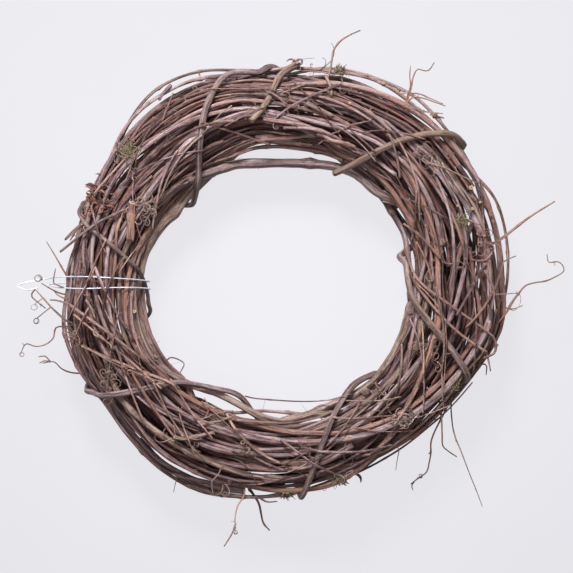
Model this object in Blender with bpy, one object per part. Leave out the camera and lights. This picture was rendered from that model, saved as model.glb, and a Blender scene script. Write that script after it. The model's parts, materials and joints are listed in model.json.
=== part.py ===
"""An 18 inch grapevine wreath, lying on its back with its front face up.

Every cane is a separate closed solid. A cane's route is a chain of centre points. The canes that run
round the ring have one point in each of STATIONS half-planes through the ring's axis, and are pushed
apart there until none of them crosses another. The binders, loose twigs, wire and tendrils are then
laid over the finished bundle in the same way. Routes are worked out in millimetres with the ring's
axis at x = y = 0, and become metres when their meshes are made.
"""
import math

import bpy
import bmesh
import numpy as np
from mathutils import Vector

MM = 0.001

# Driving dimensions, in millimetres
STATIONS = 32                 # half-planes round the ring that hold the canes' centre points
STEP = 2 * math.pi / STATIONS
MIDDLE_Z = 43.5               # height of the middle of the bundle above the surface it lies on
HALF_DEPTH = 35.0             # from there to the front and to the back of the bundle
BULGE = 2.8                   # 2 makes the bundle's section an ellipse, and more makes it squarer
GAP = 0.3                     # least clearance between two canes
FLOOR_GAP = 0.4               # clearance under everything but the three resting binders
FILLING_CANES = 24
SEED = 9
RING_X, RING_Y = -2.7, -1.8    # the ring's axis in the part's frame, which has its origin under the middle
BINDER_LIFT, BINDER_SPACING, BINDER_SIDES = 9.0, 12.0, 6
RESTING_POINTS = 4            # centre points in the level stretch of each binder that rests on the surface
RESTING_SLOPE = 1.5           # millimetres of height that one degree off its place weighs in choosing it
TWIG_LIFT, TWIG_SPACING, SHOOT_SPACING = 14.0, 16.0, 11.0
THICK_RADIUS, THIN_RADIUS = 4.0, 2.3      # canes above have six sides, canes between have five
ROUND_3, ROUND_4 = 1.45, 1.2  # corner radius of a three or four sided twig as thick as a round one
FUSE_SOLVER = "EXACT"
WIRE_DIAMETER, WIRE_LIFT, WIRE_SPACING = 1.3, 17.0, 12.0

# The bundle's inner and outer edge: degrees round the ring from +X, and millimetres from its centre
RING_INNER = (
    (0, 128), (20, 133), (35, 133), (50, 137), (65, 137), (80, 138), (90, 141), (100, 146), (110, 143),
    (120, 141), (135, 138), (150, 143), (165, 149), (180, 149), (200, 150), (221, 147), (240, 141),
    (255, 137), (270, 138), (285, 135), (300, 131), (320, 133), (335, 132), (350, 130),
)
RING_OUTER = (
    (0, 230), (20, 230), (45, 230), (70, 226), (90, 221), (110, 230), (125, 233), (140, 231),
    (160, 226), (180, 228), (195, 236), (205, 233), (215, 224), (225, 226), (235, 229), (245, 229),
    (255, 226), (270, 221), (285, 218), (300, 215), (315, 213), (330, 217), (340, 224), (350, 235),
)

# Canes whose course shows on the front: name, diameter, colour, height as a share of the bundle's
# top there, stations that they run on before and after, and the course as degrees and millimetres
SEEN_CANES = (
    ("grey_cane_across_top_of_hole", 10.0, "grey", 0.9, 2, 3,
     ((120, 146), (113, 140), (101, 132), (93, 129), (82, 130), (72, 133), (64, 138), (53, 140), (45, 139))),
    ("tan_cane_upper_left", 11.6, "tan", 0.7, 4, 3,
     ((108, 151), (116, 142), (124, 140), (131, 139), (140, 136), (147, 139), (158, 146), (167, 151),
      (180, 154))),
    ("tan_cane_lower_left", 9.0, "tan", 0.8, 5, 4,
     ((182, 154), (201, 158), (218, 158), (228, 160), (239, 156), (256, 147), (269, 152), (285, 151))),
    ("inner_left_cane", 7.0, "mauve", 0.5, 4, 5,
     ((175, 149), (186, 150), (196, 149), (208, 147), (219, 146), (226, 143))),
    ("knobbly_cane_low_left", 7.4, "tan", 0.75, 3, 4,
     ((222, 146), (235, 134), (241, 132), (249, 133), (260, 140), (269, 143), (278, 139), (287, 137))),
    ("thin_tan_cane_lower_left", 6.2, "tan", 0.9, 4, 6,
     ((215, 202), (224, 199), (234, 197), (243, 192))),
    ("tan_cane_lower_right_inner", 9.8, "tan", 0.7, 3, 4,
     ((352, 133), (343, 132), (334, 134), (325, 135), (318, 136), (310, 139), (297, 134), (286, 136),
      (272, 142))),
    ("tan_cane_lower_right_outer", 9.2, "tan", 0.85, 5, 3,
     ((356, 146), (341, 149), (334, 150), (324, 150), (312, 150), (300, 148), (286, 151), (276, 150))),
    ("purple_cane_low_right", 7.2, "mauve", 0.9, 6, 7,
     ((332, 170), (321, 164), (310, 161), (299, 160), (287, 160), (275, 163))),
    ("pale_barked_cane_low_right", 7.0, "tan", 0.95, 3, 3,
     ((315, 181), (309, 177), (299, 172), (290, 172), (283, 177))),
    ("thin_outer_cane_lower_left", 3.8, "red", 0.3, 2, 3,
     ((205, 222), (212, 224), (222, 226), (232, 231), (239, 232), (249, 232), (258, 225), (268, 217))),
    ("thin_outer_cane_upper_left", 3.2, "grey", 0.3, 3, 4,
     ((142, 226), (132, 236), (126, 243), (120, 246), (110, 239), (100, 230))),
    ("thin_outer_cane_upper_right", 3.4, "grey", 0.3, 6, 2,
     ((76, 227), (65, 234), (56, 237), (44, 232), (32, 230))),
    ("thin_outer_cane_right", 3.2, "red", 0.3, 2, 5,
     ((28, 230), (20, 237), (12, 235), (7, 232), (0, 230), (355, 230))),
    ("hooked_cane_right", 5.5, "mauve", 0.95, 1, 3,
     ((23, 212), (14, 187), (8, 177), (0, 170))),
    ("inner_right_cane", 6.4, "mauve", 0.2, 6, 2,
     ((60, 136), (50, 139), (40, 135), (28, 134), (19, 134), (10, 130), (0, 130), (350, 133))),
    ("upper_right_cane", 7.0, "mauve", 0.75, 4, 4,
     ((66, 146), (50, 147), (35, 143), (20, 142), (5, 138), (350, 142))),
    ("thin_cane_across_bottom_of_hole", 3.4, "mauve", 0.5, 2, 3,
     ((249, 141), (254, 135), (260, 131), (269, 131), (279, 136), (287, 138))),
    ("left_edge_cane", 6.6, "mauve", 0.2, 4, 5,
     ((140, 147), (152, 153), (165, 155), (178, 152), (190, 151), (202, 151))),
    ("second_outer_cane_upper_left", 3.8, "mauve", 0.6, 3, 3,
     ((142, 228), (133, 231), (126, 233), (120, 231), (114, 231), (106, 224))),
    ("second_outer_cane_upper_right", 3.8, "mauve", 0.6, 4, 3,
     ((96, 222), (84, 220), (70, 229), (62, 230), (54, 229), (46, 225))),
    ("second_outer_cane_lower_left", 4.0, "mauve", 0.6, 3, 3,
     ((186, 228), (193, 231), (203, 228), (212, 222), (222, 223), (231, 227), (240, 225))),
)
FILLING_DIAMETERS = (6.2, 4.8, 6.8, 5.4, 4.2, 6.0, 5.2, 4.0, 6.4, 4.6)
FILLING_TURNS = (1.2, 1.45, 1.05, 1.6, 1.3, 1.15, 1.5, 1.35, 1.2, 1.4)
# Binders wound round the bundle, from the outer edge over the front to the inner edge or back: name,
# diameter, the course over the front as x and y, the degrees round the ring where its two ends lie
# under the bundle, how many degrees of the bundle's section each end runs on, where it rests or None
BINDERS = (
    ("binder_top_left", 6.8,
     ((-22, 216), (-36, 220), (-48, 222), (-59, 221), (-67, 214), (-73, 203), (-80, 186), (-85, 168),
      (-88, 147), (-88, 127), (-90, 106), (-95, 82)), 80, 150, 120, 120, 147),
    ("binder_top", 7.2,
     ((12, 228), (0, 222), (-6, 216), (-10, 203), (-14, 192), (-20, 182), (-26, 174), (-35, 167)),
     84, 102, 0, 0, None),
    ("binder_upper_right", 7.2,
     ((51, 115), (58, 117), (77, 127), (98, 139), (119, 149), (140, 155), (156, 157), (170, 157), (178, 156),
      (182, 145)), 66, 30, 0, 150, 33),
    ("binder_left", 4.6,
     ((-207, 83), (-217, 76), (-203, 59), (-195, 54), (-175, 39), (-157, 23), (-150, 15), (-143, 4),
      (-140, -8), (-142, -23)), 152, 200, 130, 130, None),
    ("binder_lower_left", 6.4,
     ((-199, -109), (-190, -117), (-168, -113), (-147, -108), (-129, -102), (-111, -98), (-100, -100),
      (-75, -106), (-61, -112), (-43, -119)), 200, 262, 150, 60, None),
    ("binder_bottom", 6.8,
     ((94, -95), (82, -96), (70, -102), (61, -113), (54, -125), (48, -136), (41, -155), (34, -172),
      (28, -193), (20, -210), (15, -216)), 322, 268, 120, 140, 271),
    ("binder_right", 7.2,
     ((127, 30), (126, 12), (127, -6), (131, -16), (139, -28), (149, -40), (161, -54), (171, -66),
      (180, -80), (186, -92)), 20, 330, 150, 60, None),
)
# Twigs that lie loose over the front: name, diameter, colour, course as x and y
LOOSE_TWIGS = (
    ("crossing_twig_left_upper", 3.0, "red", ((-220, -20), (-176, -52), (-147, -74), (-119, -99))),
    ("crossing_twig_left_middle", 2.6, "red", ((-216, -30), (-178, -60), (-151, -83), (-126, -106))),
    ("crossing_twig_left_lower", 3.0, "red", ((-208, -62), (-185, -72), (-156, -84), (-134, -93), (-112, -104))),
    ("crossing_twig_right_outer", 3.0, "red", ((124, 40), (133, 9), (148, -6), (168, -21), (190, -36), (208, -48),
                                               (217, -57), (216, -71), (204, -75))),
    ("crossing_twig_right_inner", 3.0, "red", ((128, 13), (137, -5), (157, -29), (182, -52), (195, -61),
                                               (206, -68))),
    ("stray_stick_left", 3.2, "grey", ((-163, 77), (-191, 64), (-231, 34))),
)
# Twigs and tendrils that grow from the nearest cane: diameter, rise, course as x and y from the root
SHOOTS = (
    (2.4, 12, ((45, 214), (48, 222), (50, 236), (52, 244), (61, 253), (77, 260))),
    (1.8, 10, ((120, 196), (127, 207), (131, 222), (136, 225), (145, 222), (150, 225), (153, 228))),
    (1.8, 8, ((112, 196), (122, 208), (126, 217), (124, 221), (128, 226))),
    (1.8, 6, ((120, 200), (129, 202), (139, 198), (164, 188))),
    (2.0, 4, ((142, 172), (149, 173), (155, 174), (166, 174))),
    (3.2, 8, ((208, 27), (221, 37), (251, 64), (276, 82))),
    (2.0, 12, ((220, -30), (229, -23), (239, -7), (250, 4), (267, 6), (281, 12), (286, 16), (283, 23), (270, 23),
               (267, 25), (268, 31))),
    (1.8, -6, ((220, -19), (229, -24), (234, -30), (242, -29), (250, -24))),
    (2.0, 3, ((205, -66), (212, -72), (211, -87))),
    (2.2, -12, ((160, -116), (157, -133), (148, -160), (149, -177), (146, -196), (141, -200), (132, -209))),
    (2.4, 6, ((158, -100), (160, -110), (163, -130), (164, -167), (167, -169), (177, -176))),
    (1.6, 14, ((160, -114), (165, -130), (171, -153), (180, -172), (191, -199), (204, -229))),
    (3.2, -8, ((-28, -217), (-27, -225), (-23, -230), (-19, -252), (-15, -258))),
    (1.8, 8, ((-30, -216), (-36, -226), (-45, -232), (-48, -240), (-49, -250))),
    (2.0, 8, ((-226, 8), (-232, 15), (-240, 30), (-250, 47))),
    (2.4, -6, ((-224, -38), (-232, -35), (-247, -20), (-260, -4))),
    (2.0, 6, ((-224, -16), (-231, -19), (-244, -10), (-254, -1))),
    (1.8, 12, ((-219, -36), (-228, -40), (-235, -41), (-238, -48), (-238, -54), (-244, -60), (-253, -63),
               (-261, -62), (-265, -60), (-269, -67), (-270, -70))),
    (1.8, 6, ((-203, -88), (-210, -92), (-219, -93), (-232, -89), (-238, -82), (-246, -80), (-252, -82))),
    (1.8, 4, ((-138, -70), (-128, -68), (-111, -74), (-106, -76), (-107, -84), (-110, -91))),
)

# The hanging wire: its hairpin, then its two runs over the front, from the outside inwards
WIRE_HAIRPIN = ((-256, -3, 44), (-266, -5, 44), (-276, -3, 45), (-277, 1, 45), (-262, 4, 47), (-244, 7, 52))
WIRE_UPPER = ((-226, 9), (-205, 9), (-168, 7))
WIRE_LOWER = ((-231, -3), (-210, -5), (-180, -3), (-153, -2))
# Colour, roughness and metallic value of each material
COLOURS = {
    "mauve": ((0.205, 0.130, 0.118), 0.75, 0.0),
    "tan": ((0.290, 0.195, 0.140), 0.75, 0.0),
    "grey": ((0.260, 0.205, 0.175), 0.80, 0.0),
    "red": ((0.330, 0.150, 0.085), 0.70, 0.0),
    "binder": ((0.150, 0.105, 0.100), 0.70, 0.0),
    "wire": ((0.700, 0.710, 0.730), 0.25, 1.0),
}


def around(table, degrees):
    """Reads a table of degrees and millimetres at any angle."""
    at, value = zip(*table)
    return np.interp(degrees, at, value, period=360)


def section(station):
    """Radius of the bundle's middle at a station, and half its width there."""
    degrees = station * 360.0 / STATIONS
    inner = around(RING_INNER, degrees)
    outer = around(RING_OUTER, degrees)
    return (inner + outer) / 2, (outer - inner) / 2


def top(across):
    """The height of the bundle's section, as a share of its greatest, at a share of its half width."""
    return (1 - np.abs(across) ** BULGE) ** (1 / BULGE)


def reach(side):
    """How far the section's edge lies from its middle on a side, as a share of its half width or depth."""
    return (np.abs(np.cos(side)) ** BULGE + np.abs(np.sin(side)) ** BULGE) ** (-1 / BULGE)


def closest(a0, a1, b0, b1):
    """Places along two sets of line pieces, from 0 to 1, where each pair comes closest."""
    along_a, along_b, apart = a1 - a0, b1 - b0, a0 - b0
    aa = np.einsum("ij,ij->i", along_a, along_a)
    bb = np.einsum("ij,ij->i", along_b, along_b)
    ab = np.einsum("ij,ij->i", along_a, along_b)
    a_apart = np.einsum("ij,ij->i", along_a, apart)
    b_apart = np.einsum("ij,ij->i", along_b, apart)
    slant = aa * bb - ab * ab
    s = np.where(slant > 1e-6 * aa * bb, (ab * b_apart - a_apart * bb) / np.maximum(slant, 1e-9), 0.5)
    s = np.clip(s, 0, 1)
    for _ in range(2):
        t = np.clip((ab * s + b_apart) / bb, 0, 1)
        s = np.clip((ab * t - a_apart) / aa, 0, 1)
    return s, t


class Strands:
    """Chains of centre points, kept end to end in flat arrays."""

    def __init__(self, chains, radii):
        self.points = np.vstack(chains)
        self.start = self.points.copy()
        self.radius = np.concatenate([np.full(len(c), r) for c, r in zip(chains, radii)])
        self.chain = np.concatenate([np.full(len(c), k) for k, c in enumerate(chains)])
        self.is_last = np.append(self.chain[1:] != self.chain[:-1], True)
        self.is_first = np.append(True, self.is_last[:-1])
        self.pieces = np.flatnonzero(~self.is_last)

    def of(self, k):
        return self.points[self.chain == k]

    def bend(self, values, amount):
        """Moves every point part of the way to the middle of its neighbours' values."""
        before = np.where(self.is_first[:, None], values, np.roll(values, 1, axis=0))
        after = np.where(self.is_last[:, None], values, np.roll(values, -1, axis=0))
        return amount * ((before + after) / 2 - values)


def push_apart(first, second, pairs, freedom, clearance, strength):
    """Pushes apart the line pieces in pairs that come closer than their radii and the clearance.

    freedom holds, for each of the two, a function that turns a push on its points into the part that
    they can follow. Returns the deepest overlap.
    """
    i, j = pairs
    if len(i) == 0:
        return 0.0
    s, t = closest(first.points[i], first.points[i + 1], second.points[j], second.points[j + 1])
    ends = ((first, i, 1 - s, 1, freedom[0]), (first, i + 1, s, 1, freedom[0]),
            (second, j, 1 - t, -1, freedom[1]), (second, j + 1, t, -1, freedom[1]))
    apart = sum(sign * w[:, None] * strands.points[k] for strands, k, w, sign, _ in ends)
    distance = np.linalg.norm(apart, axis=1)
    wanted = clearance + sum(w * strands.radius[k] for strands, k, w, _, _ in ends)
    hit = distance < wanted
    if not hit.any():
        return 0.0
    way = apart[hit] / np.maximum(distance[hit], 1e-6)[:, None]
    depth = wanted[hit] - distance[hit]
    pushes = [(strands, k[hit], w[hit], sign * follow(way, k[hit])) for strands, k, w, sign, follow in ends]
    give = sum(w * w * np.abs((push * way).sum(axis=1)) for _, _, w, push in pushes)
    size = strength * depth / np.maximum(give, 0.15)
    moves = {}
    for strands, k, w, push in pushes:
        move, count = moves.setdefault(id(strands), (strands, np.zeros_like(strands.points),
                                                     np.zeros(len(strands.points))))[1:]
        np.add.at(move, k, push * (size * w)[:, None])
        np.add.at(count, k, w)
    for strands, move, count in moves.values():
        strands.points += move / np.maximum(1, count * 0.6)[:, None]
    return depth.max()


class Bundle(Strands):
    """The canes that run round the ring, each point of which stays in its station's half-plane."""

    def __init__(self, canes):
        chains = [ring_points(cane["out"], cane["height"], cane["station"]) for cane in canes]
        super().__init__(chains, [cane["diameter"] / 2 for cane in canes])
        self.station = np.concatenate([cane["station"] for cane in canes])
        self.outward = outward(self.station)
        self.middle, self.half_width = section(self.station)
        held = np.concatenate([cane["held"] for cane in canes])
        self.sideways_freedom = 1 / (1 + 8 * held)
        self.upright_freedom = 1 / (1 + 0.5 * held)
        self.pairs = self.neighbours()

    def neighbours(self):
        """Every two line pieces that lie between the same two stations, or one station on."""
        wedge = self.station[self.pieces] % STATIONS
        found = []
        for station in range(STATIONS):
            here = self.pieces[wedge == station]
            beyond = self.pieces[wedge == (station + 1) % STATIONS]
            i, j = np.triu_indices(len(here), 1)
            found.append(np.stack([here[i], here[j]]))
            found.append(np.stack([a.ravel() for a in np.meshgrid(here, beyond)]))
        pairs = np.concatenate(found, axis=1)
        joined = (self.chain[pairs[0]] == self.chain[pairs[1]]) & (np.abs(pairs[0] - pairs[1]) < 3)
        return pairs[:, ~joined]

    def follow(self, way, k):
        """The part of a push that points k can follow within their half-planes."""
        along = (way[:, :2] * self.outward[k]).sum(axis=1) * self.sideways_freedom[k]
        return np.column_stack([self.outward[k] * along[:, None], way[:, 2] * self.upright_freedom[k]])

    def near(self, reach):
        """The pairs whose line pieces' middles are within reach of touching."""
        i, j = self.pairs
        middles = (self.points[i] + self.points[i + 1] - self.points[j] - self.points[j + 1]) / 2
        lengths = np.linalg.norm(self.points[i + 1] - self.points[i], axis=1)
        close = np.linalg.norm(middles, axis=1) < self.radius[i] + self.radius[j] + lengths / 2 + reach
        return self.pairs[:, close]

    def keep_in(self, strength):
        """Draws points that lie outside the bundle's oval section back to it."""
        out = (self.points[:, :2] * self.outward).sum(axis=1)
        across = (out - self.middle) / (self.half_width - self.radius)
        up = (self.points[:, 2] - MIDDLE_Z) / (HALF_DEPTH - self.radius)
        beyond = (np.abs(across) ** BULGE + np.abs(up) ** BULGE) ** (1 / BULGE)
        beyond = strength * (1 - 1 / np.maximum(1, beyond))
        free = self.sideways_freedom > 0.5
        self.points[:, :2] -= self.outward * (beyond * (out - self.middle) * free)[:, None]
        self.points[:, 2] -= beyond * (self.points[:, 2] - MIDDLE_Z)

    def settle(self, rounds=420):
        """Pushes the canes apart, while they keep the easy bends they were laid with."""
        pairs = self.near(12)
        for turn in range(rounds):
            stage = turn / rounds
            if turn % 10 == 0:
                pairs = self.near(12)
            early = stage < 0.7
            spare = 0.25 if early else 0.03
            push_apart(self, self, pairs, (self.follow, self.follow), GAP + spare, 0.8 if early else 0.9)
            if stage < 0.85:
                self.points += self.bend(self.points - self.start, 0.25 * (1 - stage) if early else 0.05)
                self.keep_in(0.5 if early else 0.2)
            if stage < 0.5:
                self.points += 0.01 * (self.start - self.points)


def outward(station):
    return np.column_stack([np.cos(station * STEP), np.sin(station * STEP)])


def ring_points(out, height, station):
    return np.column_stack([outward(station) * out[:, None], height])


def filling_cane(rng, number):
    """One of the canes that fill the bundle, winding slowly round the middle of its section."""
    diameter = FILLING_DIAMETERS[number % len(FILLING_DIAMETERS)]
    turns = FILLING_TURNS[number * 3 % len(FILLING_TURNS)]
    station = int(rng.integers(0, STATIONS)) + np.arange(round(turns * STATIONS) + 1)
    angle = station * STEP
    wind = rng.uniform(-0.55, 0.55)
    late = rng.uniform(0, 2 * math.pi, 6)
    golden_angle = math.pi * (3 - math.sqrt(5))
    side = number * golden_angle + wind * (angle - angle[0]) + 0.45 * np.sin(1.5 * angle + late[0])
    side += 0.2 * np.sin(3 * angle + late[1])
    share = 0.95 * math.sqrt((number + 0.7) / FILLING_CANES)
    share = np.clip(share + 0.22 * np.sin(1.2 * angle + late[2]) + 0.1 * np.sin(3.1 * angle + late[3]), 0, 1)
    share = share * reach(side)
    middle, half_width = section(station)
    out = middle + (half_width - diameter / 2) * share * np.cos(side) + 1.6 * np.sin(5.3 * angle + late[4])
    height = MIDDLE_Z + (HALF_DEPTH - diameter / 2) * share * np.sin(side) + 1.2 * np.sin(4.7 * angle + late[5])
    return {"name": f"cane_{number + 1:02d}", "diameter": diameter, "colour": "mauve", "station": station,
            "out": out, "height": height, "held": np.zeros(len(station))}


def seen_cane(rng, name, diameter, colour, level, before, after, course):
    """A cane that follows a course over the front, and sinks into the bundle past both its ends."""
    degrees = np.unwrap([math.radians(d) for d, _ in course])
    distances = np.array([r for _, r in course], float)
    if degrees[0] > degrees[-1]:
        degrees, distances = degrees[::-1], distances[::-1]
    begin, end = math.ceil(degrees[0] / STEP - 0.35), math.floor(degrees[-1] / STEP + 0.35)
    station = np.arange(begin - before, end + after + 1)
    out = np.interp(station * STEP, degrees, distances)
    middle, half_width = section(station)
    across = np.clip((out - middle) / (half_width - diameter / 2), -0.98, 0.98)
    height = MIDDLE_Z + (HALF_DEPTH - diameter / 2) * top(across) * level
    past = np.maximum(0, np.maximum(begin - station, station - end))
    goal = rng.uniform(-0.5, 0.5, (2, 2))[(station > end).astype(int)]
    sunk = 1 - np.exp(-past / 4)
    out += (middle + half_width * goal[:, 0] - out) * sunk
    height += (MIDDLE_Z + HALF_DEPTH * goal[:, 1] - height) * sunk
    return {"name": name, "diameter": diameter, "colour": colour, "station": station, "out": out,
            "height": height, "held": np.where(past > 0, 0.0, 1.0)}


def ring_canes():
    """All canes that run round the ring, as they are laid before the bundle settles."""
    rng = np.random.default_rng(SEED)
    canes = [seen_cane(rng, *row) for row in SEEN_CANES]
    return canes + [filling_cane(rng, number) for number in range(FILLING_CANES)]


def section_under(points):
    """The bundle's middle radius and half width under each point, and the point's angle round the ring."""
    angle = np.arctan2(points[:, 1], points[:, 0])
    return *section(angle / STEP), angle


def above_bundle(course, lift):
    """A course of x and y, as points that stand clear over the bundle's front."""
    xy = np.array(course, float)
    middle, half_width, _ = section_under(xy)
    across = np.clip((np.hypot(*xy.T) - middle) / (half_width + lift), -0.97, 0.97)
    return np.column_stack([xy, MIDDLE_Z + (HALF_DEPTH + lift) * top(across)])


def round_the_back(edge, degrees_end, sweep, lift):
    """Points from a course's end at the bundle's edge, round that edge and on under the bundle."""
    middle, half_width, angle = section_under(edge[None])
    turn = math.radians(degrees_end) - angle[0]
    turn = (turn + math.pi) % (2 * math.pi) - math.pi
    across = np.clip((math.hypot(*edge[:2]) - middle[0]) / (half_width[0] + lift), -0.97, 0.97)
    begin = math.atan2(top(across), across)
    way = -1 if across > 0 else 1
    share = np.arange(1, max(4, int(sweep / 18)) + 1) / max(4, int(sweep / 18))
    side = begin + way * math.radians(sweep) * share
    round_ring = angle[0] + turn * share
    middle, half_width = section(round_ring / STEP)
    out = middle + (half_width + lift) * reach(side) * np.cos(side)
    return np.column_stack([out * np.cos(round_ring), out * np.sin(round_ring),
                            MIDDLE_Z + (HALF_DEPTH + lift) * reach(side) * np.sin(side)])


def resample(points, spacing):
    """A smooth curve through the points, as evenly spaced points."""
    points = np.array(points, float)
    padded = np.vstack([2 * points[0] - points[1], points, 2 * points[-1] - points[-2]])
    t = np.linspace(0, 1, 12, endpoint=False)[:, None]
    fine = [0.5 * (2 * b + (c - a) * t + (2 * a - 5 * b + 4 * c - d) * t ** 2 + (3 * b - a - 3 * c + d) * t ** 3)
            for a, b, c, d in zip(padded, padded[1:], padded[2:], padded[3:])]
    fine = np.vstack(fine + [points[-1:]])
    length = np.append(0, np.cumsum(np.linalg.norm(np.diff(fine, axis=0), axis=1)))
    at = np.linspace(0, length[-1], max(2, round(length[-1] / spacing)) + 1)
    return np.column_stack([np.interp(at, length, column) for column in fine.T])


class Loose(Strands):
    """Binders, twigs, tendrils and the wire, laid over a bundle that no longer moves."""

    def __init__(self, laid, bundle):
        super().__init__([piece["points"] for piece in laid], [piece["radius"] for piece in laid])
        self.laid, self.bundle = laid, bundle

        def each(key, kind=float):
            return np.concatenate([np.broadcast_to(np.asarray(p[key], kind), len(p["points"])) for p in laid])

        self.down, self.inward, self.hold = each("down"), each("inward"), each("hold")
        self.tension, self.spring = each("tension"), each("spring")
        self.parent = each("parent", int)
        self.free = (~(self.is_first & (self.parent >= 0))).astype(float)
        self.resting = np.zeros(len(self.points), bool)
        self.rest_height = self.radius * math.cos(math.pi / BINDER_SIDES)

    def follow(self, way, k):
        push = way * self.free[k][:, None]
        push[self.resting[k], 2] = 0
        return push

    def nearby(self, reach):
        """Pairs with the bundle's line pieces, and pairs among the loose pieces themselves."""
        middle, half, thick = self.spans(self)
        others = self.spans(self.bundle)
        i, j = np.nonzero(self.within(middle, half, thick, *others, reach))
        i, j = self.pieces[i], self.bundle.pieces[j]
        apart = self.parent[i] != self.bundle.chain[j]
        on_bundle = np.stack([i[apart], j[apart]])
        i, j = np.nonzero(np.triu(self.within(middle, half, thick, middle, half, thick, reach), 1))
        i, j = self.pieces[i], self.pieces[j]
        same = (self.chain[i] == self.chain[j]) & (np.abs(i - j) < 4)
        family = (self.parent[i] == self.parent[j]) & (self.parent[i] >= 0) & (self.chain[i] != self.chain[j])
        return on_bundle, np.stack([i[~same & ~family], j[~same & ~family]])

    @staticmethod
    def spans(strands):
        a, b = strands.points[strands.pieces], strands.points[strands.pieces + 1]
        return (a + b) / 2, np.linalg.norm(b - a, axis=1) / 2, strands.radius[strands.pieces]

    @staticmethod
    def within(middle, half, thick, middle_b, half_b, thick_b, reach):
        apart = np.linalg.norm(middle[:, None] - middle_b[None], axis=2)
        return apart < (half + thick)[:, None] + (half_b + thick_b)[None] + reach

    def pull(self, strength):
        """Draws binders in towards the middle of the section, twigs down, and all to their courses."""
        self.points += self.bend(self.points - self.start, 1) * (self.spring * self.free)[:, None]
        inner = ~(self.is_first | self.is_last)
        self.points += self.bend(self.points, 1) * (self.tension * inner)[:, None]
        middle, _, angle = section_under(self.points)
        core = np.column_stack([middle * np.cos(angle), middle * np.sin(angle), np.full(len(angle), MIDDLE_Z)])
        way = core - self.points
        way /= np.maximum(np.linalg.norm(way, axis=1), 1e-6)[:, None]
        self.points += way * (0.35 * strength * self.inward)[:, None]
        self.points[:, 2] -= 0.35 * strength * self.down
        off = (self.start - self.points)[:, :2]
        self.points[:, :2] += off * (0.2 * self.hold * self.free)[:, None]

    def choose_rests(self):
        """Levels the lowest stretch, near its place, of each binder that the wreath rests on."""
        for k, piece in enumerate(self.laid):
            if piece["rests"] is None:
                continue
            at = np.flatnonzero(self.chain == k)[:1 - RESTING_POINTS]
            middle = self.points[at + RESTING_POINTS // 2]
            off = np.degrees(np.arctan2(middle[:, 1], middle[:, 0])) - piece["rests"]
            off = np.abs((off + 180) % 360 - 180)
            heights = np.mean([self.points[at + step, 2] for step in range(RESTING_POINTS)], axis=0)
            low = at[int(np.argmin(heights + RESTING_SLOPE * off))]
            self.resting[low:low + RESTING_POINTS] = True

    def settle(self, rounds=400):
        for turn in range(rounds):
            stage = turn / rounds
            if turn % 8 == 0:
                on_bundle, among = self.nearby(8)
            if turn == rounds // 2:
                self.choose_rests()
            if stage < 0.93:
                self.pull(1 - stage)
            self.points[:, 2] = np.maximum(self.points[:, 2], self.radius + FLOOR_GAP)
            self.points[self.resting, 2] = self.rest_height[self.resting]
            clearance = GAP + (0.2 if stage < 0.75 else 0.03)
            push_apart(self, self.bundle, on_bundle, (self.follow, held_still), clearance, 0.9)
            push_apart(self, self, among, (self.follow, self.follow), clearance, 0.9)


def held_still(way, k):
    return np.zeros_like(way)


def laid_piece(name, points, radius, colour, **more):
    piece = {"name": name, "points": points, "radius": radius, "colour": colour, "down": 0, "inward": 0,
             "hold": 0.5, "tension": 0, "spring": 0.2, "parent": -1, "rests": None}
    piece.update(more)
    return piece


def binder(name, diameter, course, degrees_start, degrees_end, sweep_start, sweep_end, rests):
    """A cane wound round the bundle, clear of it all round before it is drawn tight."""
    front = above_bundle(course, BINDER_LIFT)
    head = round_the_back(front[0], degrees_start, sweep_start, BINDER_LIFT)[::-1] if sweep_start else []
    tail = round_the_back(front[-1], degrees_end, sweep_end, BINDER_LIFT) if sweep_end else []
    points = resample(np.vstack([*head, *front, *tail]), BINDER_SPACING)
    off = np.linalg.norm(points[:, None, :2] - front[None, :, :2], axis=2).min(axis=1)
    seen = (off < 9) & (points[:, 2] > MIDDLE_Z)
    return laid_piece(name, points, diameter / 2, "binder", inward=1, hold=np.where(seen, 0.6, 0), tension=0.25,
                      spring=0.05, rests=rests)


def loose_twig(name, diameter, colour, course):
    points = resample(above_bundle(course, TWIG_LIFT), TWIG_SPACING)
    return laid_piece(name, points, diameter / 2 * ROUND_4, colour, down=1, hold=0.7, tension=0.05, spring=0.1)


def shoot(bundle, number, diameter, rise, course):
    """A twig or tendril, from the centre of the cane near its root that leaves it the most room."""
    xy = np.array(course, float)
    radius = diameter / 2 * ROUND_3
    off = np.linalg.norm(bundle.points[:, :2] - xy[0], axis=1)
    best = None
    for k in np.argsort(off)[:14]:
        if bundle.radius[k] < 1.2 * radius or off[k] > 24:
            continue
        offset = (bundle.points[k, :2] - xy[0]) * 0.6 ** np.arange(len(xy))[:, None]
        length = np.append(0, np.cumsum(np.linalg.norm(np.diff(xy, axis=0), axis=1)))
        height = bundle.points[k, 2] + rise * length / length[-1]
        points = resample(np.column_stack([xy + offset, height]), SHOOT_SPACING)
        room = clear_room(bundle, points[:4], radius, bundle.chain[k]) - 0.12 * off[k]
        if best is None or room > best[0]:
            best = (room, points, int(bundle.chain[k]))
    return laid_piece(f"shoot_{number + 1:02d}", best[1], radius, "shoot", parent=best[2], hold=0.15, spring=0.3)


def clear_room(bundle, points, radius, parent):
    """How far the first pieces of a shoot stay from every cane but its own."""
    k = bundle.pieces[bundle.chain[bundle.pieces] != parent]
    rooms = []
    for a, b in zip(points, points[1:]):
        a_all, b_all = np.broadcast_to(a, (len(k), 3)), np.broadcast_to(b, (len(k), 3))
        s, t = closest(a_all, b_all, bundle.points[k], bundle.points[k + 1])
        apart = a + (b - a) * s[:, None] - bundle.points[k] * (1 - t[:, None]) - bundle.points[k + 1] * t[:, None]
        rooms.append((np.linalg.norm(apart, axis=1) - radius - bundle.radius[k]).min())
    return min(rooms)


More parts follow.
